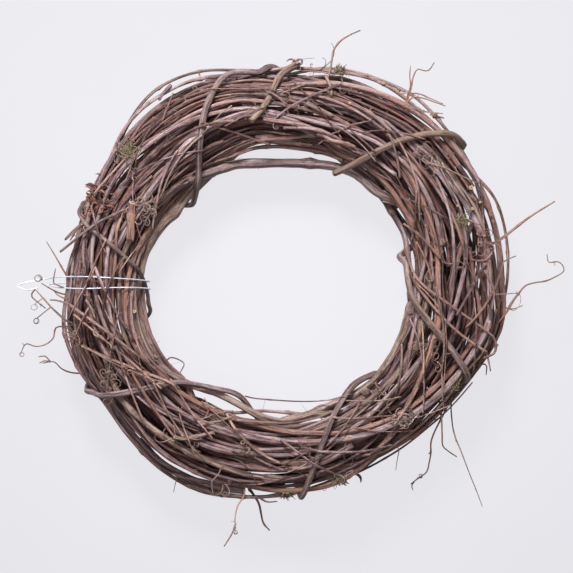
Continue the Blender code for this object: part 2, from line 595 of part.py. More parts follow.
def wire_hanger():
    """Soft wire wound twice round the left of the bundle, with a hairpin of it bent out to hang by."""
    upper = above_bundle(WIRE_UPPER, WIRE_LIFT)
    lower = above_bundle(WIRE_LOWER, WIRE_LIFT)
    hairpin = np.array([(x, y, z) for x, y, z in WIRE_HAIRPIN], float)
    under = round_the_back(upper[-1], 180, 250, WIRE_LIFT)
    tail = round_the_back(lower[-1], 183, 150, WIRE_LIFT)
    points = resample(np.vstack([hairpin, upper, under, lower, tail]), WIRE_SPACING)
    loose_end = points[:, 0] < -232
    return laid_piece("wire_hanger", points, WIRE_DIAMETER / 2 * ROUND_4, "wire", inward=~loose_end,
                      hold=np.where(loose_end, 1, 0.1), tension=np.where(loose_end, 0, 0.2), spring=0.05)


def loose_pieces(bundle):
    laid = [binder(*row) for row in BINDERS]
    laid += [loose_twig(*row) for row in LOOSE_TWIGS]
    laid.append(wire_hanger())
    laid += [shoot(bundle, number, *row) for number, row in enumerate(SHOOTS)]
    return Loose(laid, bundle)


def nearest_touch(strands, others, pairs):
    """For each chain, its tightest place: clearance, the point before it, and the way to the neighbour."""
    touches = {}
    i, j = pairs
    s, t = closest(strands.points[i], strands.points[i + 1], others.points[j], others.points[j + 1])
    s, t = s[:, None], t[:, None]
    way = others.points[j] * (1 - t) + others.points[j + 1] * t
    way -= strands.points[i] * (1 - s) + strands.points[i + 1] * s
    room = np.linalg.norm(way, axis=1) - strands.radius[i] - others.radius[j]
    for n in np.argsort(-room):
        touches[strands.chain[i[n]]] = (room[n], i[n] + int(s[n, 0] > 0.5), way[n])
        if others is strands:
            touches[strands.chain[j[n]]] = (room[n], j[n] + int(t[n, 0] > 0.5), -way[n])
    return touches


def corner_angle(strands, chain, touch, kind):
    """Where round its frame a tube needs a corner, for that corner to face its nearest neighbour."""
    points = strands.of(chain)
    k = touch[1] - int(np.flatnonzero(strands.chain == chain)[0])
    side, up = ring_frame(points, k, hints(points, kind)[k])
    return math.atan2(touch[2].dot(up), touch[2].dot(side))


def ring_frame(points, k, hint):
    """Two directions across a chain at point k; the first lies as near to level as the chain allows."""
    along = points[min(k + 1, len(points) - 1)] - points[max(k - 1, 0)]
    along = along / np.linalg.norm(along)
    side = hint - along * hint.dot(along)
    side = side / np.linalg.norm(side)
    return side, np.cross(side, along)


def hints(points, kind):
    """A direction beside the chain at each point, from which its sides are turned."""
    steps = np.gradient(points, axis=0)
    if kind == "ring":
        return np.cross(steps, (0, 0, 1))
    if kind == "binder":
        angle = np.arctan2(points[:, 1], points[:, 0])
        return np.column_stack([-np.sin(angle), np.cos(angle), np.zeros(len(points))])
    hint = np.cross(steps[0], (0, 0, 1)) + 1e-3
    found = []
    for step in steps:
        way = step / np.linalg.norm(step)
        hint = hint - way * hint.dot(way)
        hint = hint / np.linalg.norm(hint)
        found.append(hint)
    return np.array(found)


def tube(name, points, radii, sides, kind, first_corner=0.0):
    """A closed tube of flat sides along a chain of points, in metres."""
    mesh = bmesh.new()
    corners = first_corner + 2 * math.pi * np.arange(sides) / sides
    rings = []
    for k, hint in enumerate(hints(points, kind)):
        side, up = ring_frame(points, k, hint)
        rim = points[k] + radii[k] * (np.outer(np.cos(corners), side) + np.outer(np.sin(corners), up))
        rings.append([mesh.verts.new(Vector(corner) * MM) for corner in rim])
    for ring, following in zip(rings, rings[1:]):
        for k in range(sides):
            mesh.faces.new((ring[k], ring[k - 1], following[k - 1], following[k]))
    mesh.faces.new(rings[0])
    mesh.faces.new(reversed(rings[-1]))
    bmesh.ops.recalc_face_normals(mesh, faces=mesh.faces)
    bmesh.ops.triangulate(mesh, faces=mesh.faces)
    data = bpy.data.meshes.new(name)
    mesh.to_mesh(data)
    mesh.free()
    data.shade_smooth()
    data.set_sharp_from_angle(angle=math.radians(75))
    made = bpy.data.objects.new(name, data)
    bpy.context.scene.collection.objects.link(made)
    return made


def fuse(base, shoots):
    """Joins a cane's shoots to it, as one closed solid."""
    group = bpy.data.collections.new(base.name + "_shoots")
    bpy.context.scene.collection.children.link(group)
    for made in shoots:
        bpy.context.scene.collection.objects.unlink(made)
        group.objects.link(made)
    union = base.modifiers.new("shoots", "BOOLEAN")
    union.operation = "UNION"
    union.operand_type = "COLLECTION"
    union.collection = group
    union.solver = FUSE_SOLVER
    bpy.context.view_layer.objects.active = base
    bpy.ops.object.modifier_apply(modifier=union.name)
    for made in shoots:
        bpy.data.objects.remove(made)
    bpy.data.collections.remove(group)


def material(colour):
    made = bpy.data.materials.get(colour)
    if made is None:
        made = bpy.data.materials.new(colour)
        made.use_nodes = True
        shader = made.node_tree.nodes["Principled BSDF"]
        shade, roughness, metallic = COLOURS[colour]
        shader.inputs["Base Color"].default_value = (*shade, 1)
        shader.inputs["Roughness"].default_value = roughness
        shader.inputs["Metallic"].default_value = metallic
    return made


def sides_for(radius):
    return 6 if radius > THICK_RADIUS else 5 if radius > THIN_RADIUS else 4


def tapered(radius, count, ends=0.8):
    """Radii along a chain, thinner towards its far end."""
    share = np.linspace(0, 1, count)
    return radius * (1 - (1 - ends) * share ** 2)


def build_canes(canes, bundle, loose, root):
    touches = nearest_touch(bundle, bundle, bundle.near(3))
    for k, cane in enumerate(canes):
        radius = cane["diameter"] / 2
        points = bundle.of(k)
        corner = corner_angle(bundle, k, touches[k], "ring")
        made = tube(cane["name"], points, np.full(len(points), radius), sides_for(radius), "ring", corner)
        shoots = [tube(piece["name"], loose.of(n), tapered(piece["radius"], len(loose.of(n)), 0.6), 3, "free")
                  for n, piece in enumerate(loose.laid) if piece["parent"] == k]
        if shoots:
            fuse(made, shoots)
        made.data.materials.clear()
        made.data.materials.append(material(cane["colour"]))
        made.parent = root


def build_loose(loose, root):
    touches = nearest_touch(loose, loose.bundle, loose.nearby(3)[0])
    for k, piece in enumerate(loose.laid):
        if piece["parent"] >= 0:
            continue
        points = loose.of(k)
        wound = piece["colour"] == "binder"
        kind = "binder" if wound else "free"
        corner = corner_angle(loose, k, touches[k], kind) if piece["rests"] is None else 0.0
        sides = BINDER_SIDES if wound else 4
        made = tube(piece["name"], points, np.full(len(points), piece["radius"]), sides, kind, corner)
        made.data.materials.append(material(piece["colour"]))
        made.parent = root


def main():
    for old in list(bpy.data.objects):
        bpy.data.objects.remove(old)
    canes = ring_canes()
    bundle = Bundle(canes)
    bundle.settle()
    loose = loose_pieces(bundle)
    loose.settle()
    root = bpy.data.objects.new("wreath", None)
    bpy.context.scene.collection.objects.link(root)
    root.location = (RING_X * MM, RING_Y * MM, 0)
    build_canes(canes, bundle, loose, root)
    build_loose(loose, root)
    bpy.context.view_layer.update()
    return bundle, loose


main()
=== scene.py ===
"""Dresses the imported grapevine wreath: round, knotty canes under their bark, and all that has no solid
of its own, such as thin strands, curled tendrils, bark flakes, fibres and lichen.

The canes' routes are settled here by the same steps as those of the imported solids, so that each fine
surface runs along its own solid. Routes are in millimetres with the ring's axis at x = y = 0, and
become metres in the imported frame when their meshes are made.
"""
import json
import math

import bpy
import numpy as np
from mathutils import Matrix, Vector

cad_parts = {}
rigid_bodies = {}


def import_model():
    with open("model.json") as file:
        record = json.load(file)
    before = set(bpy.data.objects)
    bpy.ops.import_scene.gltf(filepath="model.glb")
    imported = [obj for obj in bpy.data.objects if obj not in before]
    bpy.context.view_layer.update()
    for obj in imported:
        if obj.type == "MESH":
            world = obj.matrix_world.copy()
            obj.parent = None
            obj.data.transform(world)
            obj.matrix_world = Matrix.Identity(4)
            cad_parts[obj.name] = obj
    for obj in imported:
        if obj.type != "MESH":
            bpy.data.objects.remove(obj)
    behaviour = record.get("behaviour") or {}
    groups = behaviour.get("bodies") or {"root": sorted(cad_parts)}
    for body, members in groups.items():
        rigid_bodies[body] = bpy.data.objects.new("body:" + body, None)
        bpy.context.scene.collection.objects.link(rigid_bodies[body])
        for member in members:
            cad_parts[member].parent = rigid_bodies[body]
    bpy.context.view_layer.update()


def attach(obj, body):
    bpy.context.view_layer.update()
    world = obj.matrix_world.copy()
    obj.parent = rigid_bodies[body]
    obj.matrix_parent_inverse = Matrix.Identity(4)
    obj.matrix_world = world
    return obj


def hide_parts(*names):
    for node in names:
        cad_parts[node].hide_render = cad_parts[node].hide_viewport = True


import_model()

MM = 0.001

# Driving dimensions, in millimetres
STATIONS = 32                 # half-planes round the ring that hold the canes' centre points
STEP = 2 * math.pi / STATIONS
MIDDLE_Z = 43.5               # height of the middle of the bundle above the surface it lies on
HALF_DEPTH = 35.0             # from there to the front and to the back of the bundle
BULGE = 2.8                   # 2 makes the bundle's section an ellipse, and more makes it squarer
GAP = 0.3                     # least clearance between two canes
FLOOR_GAP = 0.4               # clearance under everything but the three resting binders
FILLING_CANES = 24
SEED = 9
RING_X, RING_Y = -2.7, -1.8    # the ring's axis in the part's frame, which has its origin under the middle
BINDER_LIFT, BINDER_SPACING, BINDER_SIDES = 9.0, 12.0, 6
RESTING_POINTS = 4            # centre points in the level stretch of each binder that rests on the surface
RESTING_SLOPE = 1.5           # millimetres of height that one degree off its place weighs in choosing it
TWIG_LIFT, TWIG_SPACING, SHOOT_SPACING = 14.0, 16.0, 11.0
ROUND_3, ROUND_4 = 1.45, 1.2  # corner radius of a three or four sided twig as thick as a round one
WIRE_DIAMETER, WIRE_LIFT, WIRE_SPACING = 1.3, 17.0, 12.0

# The bundle's inner and outer edge: degrees round the ring from +X, and millimetres from its centre
RING_INNER = (
    (0, 128), (20, 133), (35, 133), (50, 137), (65, 137), (80, 138), (90, 141), (100, 146), (110, 143),
    (120, 141), (135, 138), (150, 143), (165, 149), (180, 149), (200, 150), (221, 147), (240, 141),
    (255, 137), (270, 138), (285, 135), (300, 131), (320, 133), (335, 132), (350, 130),
)
RING_OUTER = (
    (0, 230), (20, 230), (45, 230), (70, 226), (90, 221), (110, 230), (125, 233), (140, 231),
    (160, 226), (180, 228), (195, 236), (205, 233), (215, 224), (225, 226), (235, 229), (245, 229),
    (255, 226), (270, 221), (285, 218), (300, 215), (315, 213), (330, 217), (340, 224), (350, 235),
)

# Canes whose course shows on the front: name, diameter, colour, height as a share of the bundle's
# top there, stations that they run on before and after, and the course as degrees and millimetres
SEEN_CANES = (
    ("grey_cane_across_top_of_hole", 10.0, "grey", 0.9, 2, 3,
     ((120, 146), (113, 140), (101, 132), (93, 129), (82, 130), (72, 133), (64, 138), (53, 140), (45, 139))),
    ("tan_cane_upper_left", 11.6, "tan", 0.7, 4, 3,
     ((108, 151), (116, 142), (124, 140), (131, 139), (140, 136), (147, 139), (158, 146), (167, 151),
      (180, 154))),
    ("tan_cane_lower_left", 9.0, "tan", 0.8, 5, 4,
     ((182, 154), (201, 158), (218, 158), (228, 160), (239, 156), (256, 147), (269, 152), (285, 151))),
    ("inner_left_cane", 7.0, "mauve", 0.5, 4, 5,
     ((175, 149), (186, 150), (196, 149), (208, 147), (219, 146), (226, 143))),
    ("knobbly_cane_low_left", 7.4, "tan", 0.75, 3, 4,
     ((222, 146), (235, 134), (241, 132), (249, 133), (260, 140), (269, 143), (278, 139), (287, 137))),
    ("thin_tan_cane_lower_left", 6.2, "tan", 0.9, 4, 6,
     ((215, 202), (224, 199), (234, 197), (243, 192))),
    ("tan_cane_lower_right_inner", 9.8, "tan", 0.7, 3, 4,
     ((352, 133), (343, 132), (334, 134), (325, 135), (318, 136), (310, 139), (297, 134), (286, 136),
      (272, 142))),
    ("tan_cane_lower_right_outer", 9.2, "tan", 0.85, 5, 3,
     ((356, 146), (341, 149), (334, 150), (324, 150), (312, 150), (300, 148), (286, 151), (276, 150))),
    ("purple_cane_low_right", 7.2, "mauve", 0.9, 6, 7,
     ((332, 170), (321, 164), (310, 161), (299, 160), (287, 160), (275, 163))),
    ("pale_barked_cane_low_right", 7.0, "tan", 0.95, 3, 3,
     ((315, 181), (309, 177), (299, 172), (290, 172), (283, 177))),
    ("thin_outer_cane_lower_left", 3.8, "red", 0.3, 2, 3,
     ((205, 222), (212, 224), (222, 226), (232, 231), (239, 232), (249, 232), (258, 225), (268, 217))),
    ("thin_outer_cane_upper_left", 3.2, "grey", 0.3, 3, 4,
     ((142, 226), (132, 236), (126, 243), (120, 246), (110, 239), (100, 230))),
    ("thin_outer_cane_upper_right", 3.4, "grey", 0.3, 6, 2,
     ((76, 227), (65, 234), (56, 237), (44, 232), (32, 230))),
    ("thin_outer_cane_right", 3.2, "red", 0.3, 2, 5,
     ((28, 230), (20, 237), (12, 235), (7, 232), (0, 230), (355, 230))),
    ("hooked_cane_right", 5.5, "mauve", 0.95, 1, 3,
     ((23, 212), (14, 187), (8, 177), (0, 170))),
    ("inner_right_cane", 6.4, "mauve", 0.2, 6, 2,
     ((60, 136), (50, 139), (40, 135), (28, 134), (19, 134), (10, 130), (0, 130), (350, 133))),
    ("upper_right_cane", 7.0, "mauve", 0.75, 4, 4,
     ((66, 146), (50, 147), (35, 143), (20, 142), (5, 138), (350, 142))),
    ("thin_cane_across_bottom_of_hole", 3.4, "mauve", 0.5, 2, 3,
     ((249, 141), (254, 135), (260, 131), (269, 131), (279, 136), (287, 138))),
    ("left_edge_cane", 6.6, "mauve", 0.2, 4, 5,
     ((140, 147), (152, 153), (165, 155), (178, 152), (190, 151), (202, 151))),
    ("second_outer_cane_upper_left", 3.8, "mauve", 0.6, 3, 3,
     ((142, 228), (133, 231), (126, 233), (120, 231), (114, 231), (106, 224))),
    ("second_outer_cane_upper_right", 3.8, "mauve", 0.6, 4, 3,
     ((96, 222), (84, 220), (70, 229), (62, 230), (54, 229), (46, 225))),
    ("second_outer_cane_lower_left", 4.0, "mauve", 0.6, 3, 3,
     ((186, 228), (193, 231), (203, 228), (212, 222), (222, 223), (231, 227), (240, 225))),
)
FILLING_DIAMETERS = (6.2, 4.8, 6.8, 5.4, 4.2, 6.0, 5.2, 4.0, 6.4, 4.6)
FILLING_TURNS = (1.2, 1.45, 1.05, 1.6, 1.3, 1.15, 1.5, 1.35, 1.2, 1.4)
# Binders wound round the bundle, from the outer edge over the front to the inner edge or back: name,
# diameter, the course over the front as x and y, the degrees round the ring where its two ends lie
# under the bundle, how many degrees of the bundle's section each end runs on, where it rests or None
BINDERS = (
    ("binder_top_left", 6.8,
     ((-22, 216), (-36, 220), (-48, 222), (-59, 221), (-67, 214), (-73, 203), (-80, 186), (-85, 168),
      (-88, 147), (-88, 127), (-90, 106), (-95, 82)), 80, 150, 120, 120, 147),
    ("binder_top", 7.2,
     ((12, 228), (0, 222), (-6, 216), (-10, 203), (-14, 192), (-20, 182), (-26, 174), (-35, 167)),
     84, 102, 0, 0, None),
    ("binder_upper_right", 7.2,
     ((51, 115), (58, 117), (77, 127), (98, 139), (119, 149), (140, 155), (156, 157), (170, 157), (178, 156),
      (182, 145)), 66, 30, 0, 150, 33),
    ("binder_left", 4.6,
     ((-207, 83), (-217, 76), (-203, 59), (-195, 54), (-175, 39), (-157, 23), (-150, 15), (-143, 4),
      (-140, -8), (-142, -23)), 152, 200, 130, 130, None),
    ("binder_lower_left", 6.4,
     ((-199, -109), (-190, -117), (-168, -113), (-147, -108), (-129, -102), (-111, -98), (-100, -100),
      (-75, -106), (-61, -112), (-43, -119)), 200, 262, 150, 60, None),
    ("binder_bottom", 6.8,
     ((94, -95), (82, -96), (70, -102), (61, -113), (54, -125), (48, -136), (41, -155), (34, -172),
      (28, -193), (20, -210), (15, -216)), 322, 268, 120, 140, 271),
    ("binder_right", 7.2,
     ((127, 30), (126, 12), (127, -6), (131, -16), (139, -28), (149, -40), (161, -54), (171, -66),
      (180, -80), (186, -92)), 20, 330, 150, 60, None),
)
# Twigs that lie loose over the front: name, diameter, colour, course as x and y
LOOSE_TWIGS = (
    ("crossing_twig_left_upper", 3.0, "red", ((-220, -20), (-176, -52), (-147, -74), (-119, -99))),
    ("crossing_twig_left_middle", 2.6, "red", ((-216, -30), (-178, -60), (-151, -83), (-126, -106))),
    ("crossing_twig_left_lower", 3.0, "red",
     ((-208, -62), (-185, -72), (-156, -84), (-134, -93), (-112, -104))),
    ("crossing_twig_right_outer", 3.0, "red",
     ((124, 40), (133, 9), (148, -6), (168, -21), (190, -36), (208, -48), (217, -57), (216, -71),
      (204, -75))),
    ("crossing_twig_right_inner", 3.0, "red",
     ((128, 13), (137, -5), (157, -29), (182, -52), (195, -61), (206, -68))),
    ("stray_stick_left", 3.2, "grey", ((-163, 77), (-191, 64), (-231, 34))),
)
# Twigs and tendrils that grow from the nearest cane: diameter, rise, course as x and y from the root
SHOOTS = (
    (2.4, 12, ((45, 214), (48, 222), (50, 236), (52, 244), (61, 253), (77, 260))),
    (1.8, 10, ((120, 196), (127, 207), (131, 222), (136, 225), (145, 222), (150, 225), (153, 228))),
    (1.8, 8, ((112, 196), (122, 208), (126, 217), (124, 221), (128, 226))),
    (1.8, 6, ((120, 200), (129, 202), (139, 198), (164, 188))),
    (2.0, 4, ((142, 172), (149, 173), (155, 174), (166, 174))),
    (3.2, 8, ((208, 27), (221, 37), (251, 64), (276, 82))),
    (2.0, 12, ((220, -30), (229, -23), (239, -7), (250, 4), (267, 6), (281, 12), (286, 16), (283, 23),
               (270, 23), (267, 25), (268, 31))),
    (1.8, -6, ((220, -19), (229, -24), (234, -30), (242, -29), (250, -24))),
    (2.0, 3, ((205, -66), (212, -72), (211, -87))),
    (2.2, -12, ((160, -116), (157, -133), (148, -160), (149, -177), (146, -196), (141, -200), (132, -209))),
    (2.4, 6, ((158, -100), (160, -110), (163, -130), (164, -167), (167, -169), (177, -176))),
    (1.6, 14, ((160, -114), (165, -130), (171, -153), (180, -172), (191, -199), (204, -229))),
    (3.2, -8, ((-28, -217), (-27, -225), (-23, -230), (-19, -252), (-15, -258))),
    (1.8, 8, ((-30, -216), (-36, -226), (-45, -232), (-48, -240), (-49, -250))),
    (2.0, 8, ((-226, 8), (-232, 15), (-240, 30), (-250, 47))),
    (2.4, -6, ((-224, -38), (-232, -35), (-247, -20), (-260, -4))),
    (2.0, 6, ((-224, -16), (-231, -19), (-244, -10), (-254, -1))),
    (1.8, 12, ((-219, -36), (-228, -40), (-235, -41), (-238, -48), (-238, -54), (-244, -60), (-253, -63),
               (-261, -62), (-265, -60), (-269, -67), (-270, -70))),
    (1.8, 6, ((-203, -88), (-210, -92), (-219, -93), (-232, -89), (-238, -82), (-246, -80), (-252, -82))),
    (1.8, 4, ((-138, -70), (-128, -68), (-111, -74), (-106, -76), (-107, -84), (-110, -91))),
)

# The hanging wire: its hairpin, then its two runs over the front, from the outside inwards
WIRE_HAIRPIN = ((-256, -3, 44), (-266, -5, 44), (-276, -3, 45), (-277, 1, 45), (-262, 4, 47), (-244, 7, 52))
WIRE_UPPER = ((-226, 9), (-205, 9), (-168, 7))
WIRE_LOWER = ((-231, -3), (-210, -5), (-180, -3), (-153, -2))


def around(table, degrees):
    """Reads a table of degrees and millimetres at any angle."""
    at, value = zip(*table)
    return np.interp(degrees, at, value, period=360)


def section(station):
    """Radius of the bundle's middle at a station, and half its width there."""
    degrees = station * 360.0 / STATIONS
    inner = around(RING_INNER, degrees)
    outer = around(RING_OUTER, degrees)
    return (inner + outer) / 2, (outer - inner) / 2


def top(across):
    """The height of the bundle's section, as a share of its greatest, at a share of its half width."""
    return (1 - np.abs(across) ** BULGE) ** (1 / BULGE)


def reach(side):
    """How far the section's edge lies from its middle on a side, as a share of its half width or depth."""
    return (np.abs(np.cos(side)) ** BULGE + np.abs(np.sin(side)) ** BULGE) ** (-1 / BULGE)


def closest(a0, a1, b0, b1):
    """Places along two sets of line pieces, from 0 to 1, where each pair comes closest."""
    along_a, along_b, apart = a1 - a0, b1 - b0, a0 - b0
    aa = np.einsum("ij,ij->i", along_a, along_a)
    bb = np.einsum("ij,ij->i", along_b, along_b)
    ab = np.einsum("ij,ij->i", along_a, along_b)
    a_apart = np.einsum("ij,ij->i", along_a, apart)
    b_apart = np.einsum("ij,ij->i", along_b, apart)
    slant = aa * bb - ab * ab
    s = np.where(slant > 1e-6 * aa * bb, (ab * b_apart - a_apart * bb) / np.maximum(slant, 1e-9), 0.5)
    s = np.clip(s, 0, 1)
    for _ in range(2):
        t = np.clip((ab * s + b_apart) / bb, 0, 1)
        s = np.clip((ab * t - a_apart) / aa, 0, 1)
    return s, t


class Strands:
    """Chains of centre points, kept end to end in flat arrays."""

    def __init__(self, chains, radii):
        self.points = np.vstack(chains)
        self.start = self.points.copy()
        self.radius = np.concatenate([np.full(len(c), r) for c, r in zip(chains, radii)])
        self.chain = np.concatenate([np.full(len(c), k) for k, c in enumerate(chains)])
        self.is_last = np.append(self.chain[1:] != self.chain[:-1], True)
        self.is_first = np.append(True, self.is_last[:-1])
        self.pieces = np.flatnonzero(~self.is_last)

    def of(self, k):
        return self.points[self.chain == k]

    def bend(self, values, amount):
        """Moves every point part of the way to the middle of its neighbours' values."""
        before = np.where(self.is_first[:, None], values, np.roll(values, 1, axis=0))
        after = np.where(self.is_last[:, None], values, np.roll(values, -1, axis=0))
        return amount * ((before + after) / 2 - values)


def push_apart(first, second, pairs, freedom, clearance, strength):
    """Pushes apart the line pieces in pairs that come closer than their radii and the clearance.

    freedom holds, for each of the two, a function that turns a push on its points into the part that
    they can follow.
    """
    i, j = pairs
    if len(i) == 0:
        return
    s, t = closest(first.points[i], first.points[i + 1], second.points[j], second.points[j + 1])
    ends = ((first, i, 1 - s, 1, freedom[0]), (first, i + 1, s, 1, freedom[0]),
            (second, j, 1 - t, -1, freedom[1]), (second, j + 1, t, -1, freedom[1]))
    apart = sum(sign * w[:, None] * strands.points[k] for strands, k, w, sign, _ in ends)
    distance = np.linalg.norm(apart, axis=1)
    wanted = clearance + sum(w * strands.radius[k] for strands, k, w, _, _ in ends)
    hit = distance < wanted
    if not hit.any():
        return
    way = apart[hit] / np.maximum(distance[hit], 1e-6)[:, None]
    depth = wanted[hit] - distance[hit]
    pushes = [(strands, k[hit], w[hit], sign * follow(way, k[hit])) for strands, k, w, sign, follow in ends]
    give = sum(w * w * np.abs((push * way).sum(axis=1)) for _, _, w, push in pushes)
    size = strength * depth / np.maximum(give, 0.15)
    moves = {}
    for strands, k, w, push in pushes:
        move, count = moves.setdefault(id(strands), (strands, np.zeros_like(strands.points),
                                                     np.zeros(len(strands.points))))[1:]
        np.add.at(move, k, push * (size * w)[:, None])
        np.add.at(count, k, w)
    for strands, move, count in moves.values():
        strands.points += move / np.maximum(1, count * 0.6)[:, None]


class Bundle(Strands):
    """The canes that run round the ring, each point of which stays in its station's half-plane."""

    def __init__(self, canes):
        chains = [ring_points(cane["out"], cane["height"], cane["station"]) for cane in canes]
        super().__init__(chains, [cane["diameter"] / 2 for cane in canes])
        self.station = np.concatenate([cane["station"] for cane in canes])
        self.outward = outward(self.station)
        self.middle, self.half_width = section(self.station)
        held = np.concatenate([cane["held"] for cane in canes])
        self.sideways_freedom = 1 / (1 + 8 * held)
        self.upright_freedom = 1 / (1 + 0.5 * held)
        self.pairs = self.neighbours()

    def neighbours(self):
        """Every two line pieces that lie between the same two stations, or one station on."""
        wedge = self.station[self.pieces] % STATIONS
        found = []
        for station in range(STATIONS):
            here = self.pieces[wedge == station]
            beyond = self.pieces[wedge == (station + 1) % STATIONS]
            i, j = np.triu_indices(len(here), 1)
            found.append(np.stack([here[i], here[j]]))
            found.append(np.stack([a.ravel() for a in np.meshgrid(here, beyond)]))
        pairs = np.concatenate(found, axis=1)
        joined = (self.chain[pairs[0]] == self.chain[pairs[1]]) & (np.abs(pairs[0] - pairs[1]) < 3)
        return pairs[:, ~joined]

    def follow(self, way, k):
        """The part of a push that points k can follow within their half-planes."""
        along = (way[:, :2] * self.outward[k]).sum(axis=1) * self.sideways_freedom[k]
        return np.column_stack([self.outward[k] * along[:, None], way[:, 2] * self.upright_freedom[k]])

    def near(self, reach):
        """The pairs whose line pieces' middles are within reach of touching."""
        i, j = self.pairs
        middles = (self.points[i] + self.points[i + 1] - self.points[j] - self.points[j + 1]) / 2
        lengths = np.linalg.norm(self.points[i + 1] - self.points[i], axis=1)
        close = np.linalg.norm(middles, axis=1) < self.radius[i] + self.radius[j] + lengths / 2 + reach
        return self.pairs[:, close]

    def keep_in(self, strength):
        """Draws points that lie outside the bundle's oval section back to it."""
        out = (self.points[:, :2] * self.outward).sum(axis=1)
        across = (out - self.middle) / (self.half_width - self.radius)
        up = (self.points[:, 2] - MIDDLE_Z) / (HALF_DEPTH - self.radius)
        beyond = (np.abs(across) ** BULGE + np.abs(up) ** BULGE) ** (1 / BULGE)
        beyond = strength * (1 - 1 / np.maximum(1, beyond))
        free = self.sideways_freedom > 0.5
        self.points[:, :2] -= self.outward * (beyond * (out - self.middle) * free)[:, None]
        self.points[:, 2] -= beyond * (self.points[:, 2] - MIDDLE_Z)

    def settle(self, rounds=420):
        """Pushes the canes apart, while they keep the easy bends they were laid with."""
        pairs = self.near(12)
        for turn in range(rounds):
            stage = turn / rounds
            if turn % 10 == 0:
                pairs = self.near(12)
            early = stage < 0.7
            spare = 0.25 if early else 0.03
            push_apart(self, self, pairs, (self.follow, self.follow), GAP + spare, 0.8 if early else 0.9)
            if stage < 0.85:
                self.points += self.bend(self.points - self.start, 0.25 * (1 - stage) if early else 0.05)
                self.keep_in(0.5 if early else 0.2)
            if stage < 0.5:
                self.points += 0.01 * (self.start - self.points)


def outward(station):
    return np.column_stack([np.cos(station * STEP), np.sin(station * STEP)])


def ring_points(out, height, station):
    return np.column_stack([outward(station) * out[:, None], height])


def filling_cane(rng, number):
    """One of the canes that fill the bundle, winding slowly round the middle of its section."""
    diameter = FILLING_DIAMETERS[number % len(FILLING_DIAMETERS)]
    turns = FILLING_TURNS[number * 3 % len(FILLING_TURNS)]
    station = int(rng.integers(0, STATIONS)) + np.arange(round(turns * STATIONS) + 1)
    angle = station * STEP
    wind = rng.uniform(-0.55, 0.55)
    late = rng.uniform(0, 2 * math.pi, 6)
    golden_angle = math.pi * (3 - math.sqrt(5))
    side = number * golden_angle + wind * (angle - angle[0]) + 0.45 * np.sin(1.5 * angle + late[0])
    side += 0.2 * np.sin(3 * angle + late[1])
    share = 0.95 * math.sqrt((number + 0.7) / FILLING_CANES)
    share = np.clip(share + 0.22 * np.sin(1.2 * angle + late[2]) + 0.1 * np.sin(3.1 * angle + late[3]), 0, 1)
    share = share * reach(side)
    middle, half_width = section(station)
    out = middle + (half_width - diameter / 2) * share * np.cos(side) + 1.6 * np.sin(5.3 * angle + late[4])
    height = MIDDLE_Z + (HALF_DEPTH - diameter / 2) * share * np.sin(side)
    height = height + 1.2 * np.sin(4.7 * angle + late[5])
    return {"name": f"cane_{number + 1:02d}", "diameter": diameter, "colour": "mauve", "station": station,
            "out": out, "height": height, "held": np.zeros(len(station))}


def seen_cane(rng, name, diameter, colour, level, before, after, course):
    """A cane that follows a course over the front, and sinks into the bundle past both its ends."""
    degrees = np.unwrap([math.radians(d) for d, _ in course])
    distances = np.array([r for _, r in course], float)
    if degrees[0] > degrees[-1]:
        degrees, distances = degrees[::-1], distances[::-1]
    begin, end = math.ceil(degrees[0] / STEP - 0.35), math.floor(degrees[-1] / STEP + 0.35)
    station = np.arange(begin - before, end + after + 1)
    out = np.interp(station * STEP, degrees, distances)
    middle, half_width = section(station)
    across = np.clip((out - middle) / (half_width - diameter / 2), -0.98, 0.98)
    height = MIDDLE_Z + (HALF_DEPTH - diameter / 2) * top(across) * level
    past = np.maximum(0, np.maximum(begin - station, station - end))
    goal = rng.uniform(-0.5, 0.5, (2, 2))[(station > end).astype(int)]
    sunk = 1 - np.exp(-past / 4)
    out += (middle + half_width * goal[:, 0] - out) * sunk
    height += (MIDDLE_Z + HALF_DEPTH * goal[:, 1] - height) * sunk
    return {"name": name, "diameter": diameter, "colour": colour, "station": station, "out": out,
            "height": height, "held": np.where(past > 0, 0.0, 1.0)}


def ring_canes():
    """All canes that run round the ring, as they are laid before the bundle settles."""
    rng = np.random.default_rng(SEED)
    canes = [seen_cane(rng, *row) for row in SEEN_CANES]
    return canes + [filling_cane(rng, number) for number in range(FILLING_CANES)]


def section_under(points):
    """The bundle's middle radius and half width under each point, and the point's angle round the ring."""
    angle = np.arctan2(points[:, 1], points[:, 0])
    return *section(angle / STEP), angle


def above_bundle(course, lift):
    """A course of x and y, as points that stand clear over the bundle's front."""
    xy = np.array(course, float)
    middle, half_width, _ = section_under(xy)
    across = np.clip((np.hypot(*xy.T) - middle) / (half_width + lift), -0.97, 0.97)
    return np.column_stack([xy, MIDDLE_Z + (HALF_DEPTH + lift) * top(across)])


def round_the_back(edge, degrees_end, sweep, lift):
    """Points from a course's end at the bundle's edge, round that edge and on under the bundle."""
    middle, half_width, angle = section_under(edge[None])
    turn = math.radians(degrees_end) - angle[0]
    turn = (turn + math.pi) % (2 * math.pi) - math.pi
    across = np.clip((math.hypot(*edge[:2]) - middle[0]) / (half_width[0] + lift), -0.97, 0.97)
    begin = math.atan2(top(across), across)
    way = -1 if across > 0 else 1
    share = np.arange(1, max(4, int(sweep / 18)) + 1) / max(4, int(sweep / 18))
    side = begin + way * math.radians(sweep) * share
    round_ring = angle[0] + turn * share
    middle, half_width = section(round_ring / STEP)
    out = middle + (half_width + lift) * reach(side) * np.cos(side)
    return np.column_stack([out * np.cos(round_ring), out * np.sin(round_ring),
                            MIDDLE_Z + (HALF_DEPTH + lift) * reach(side) * np.sin(side)])


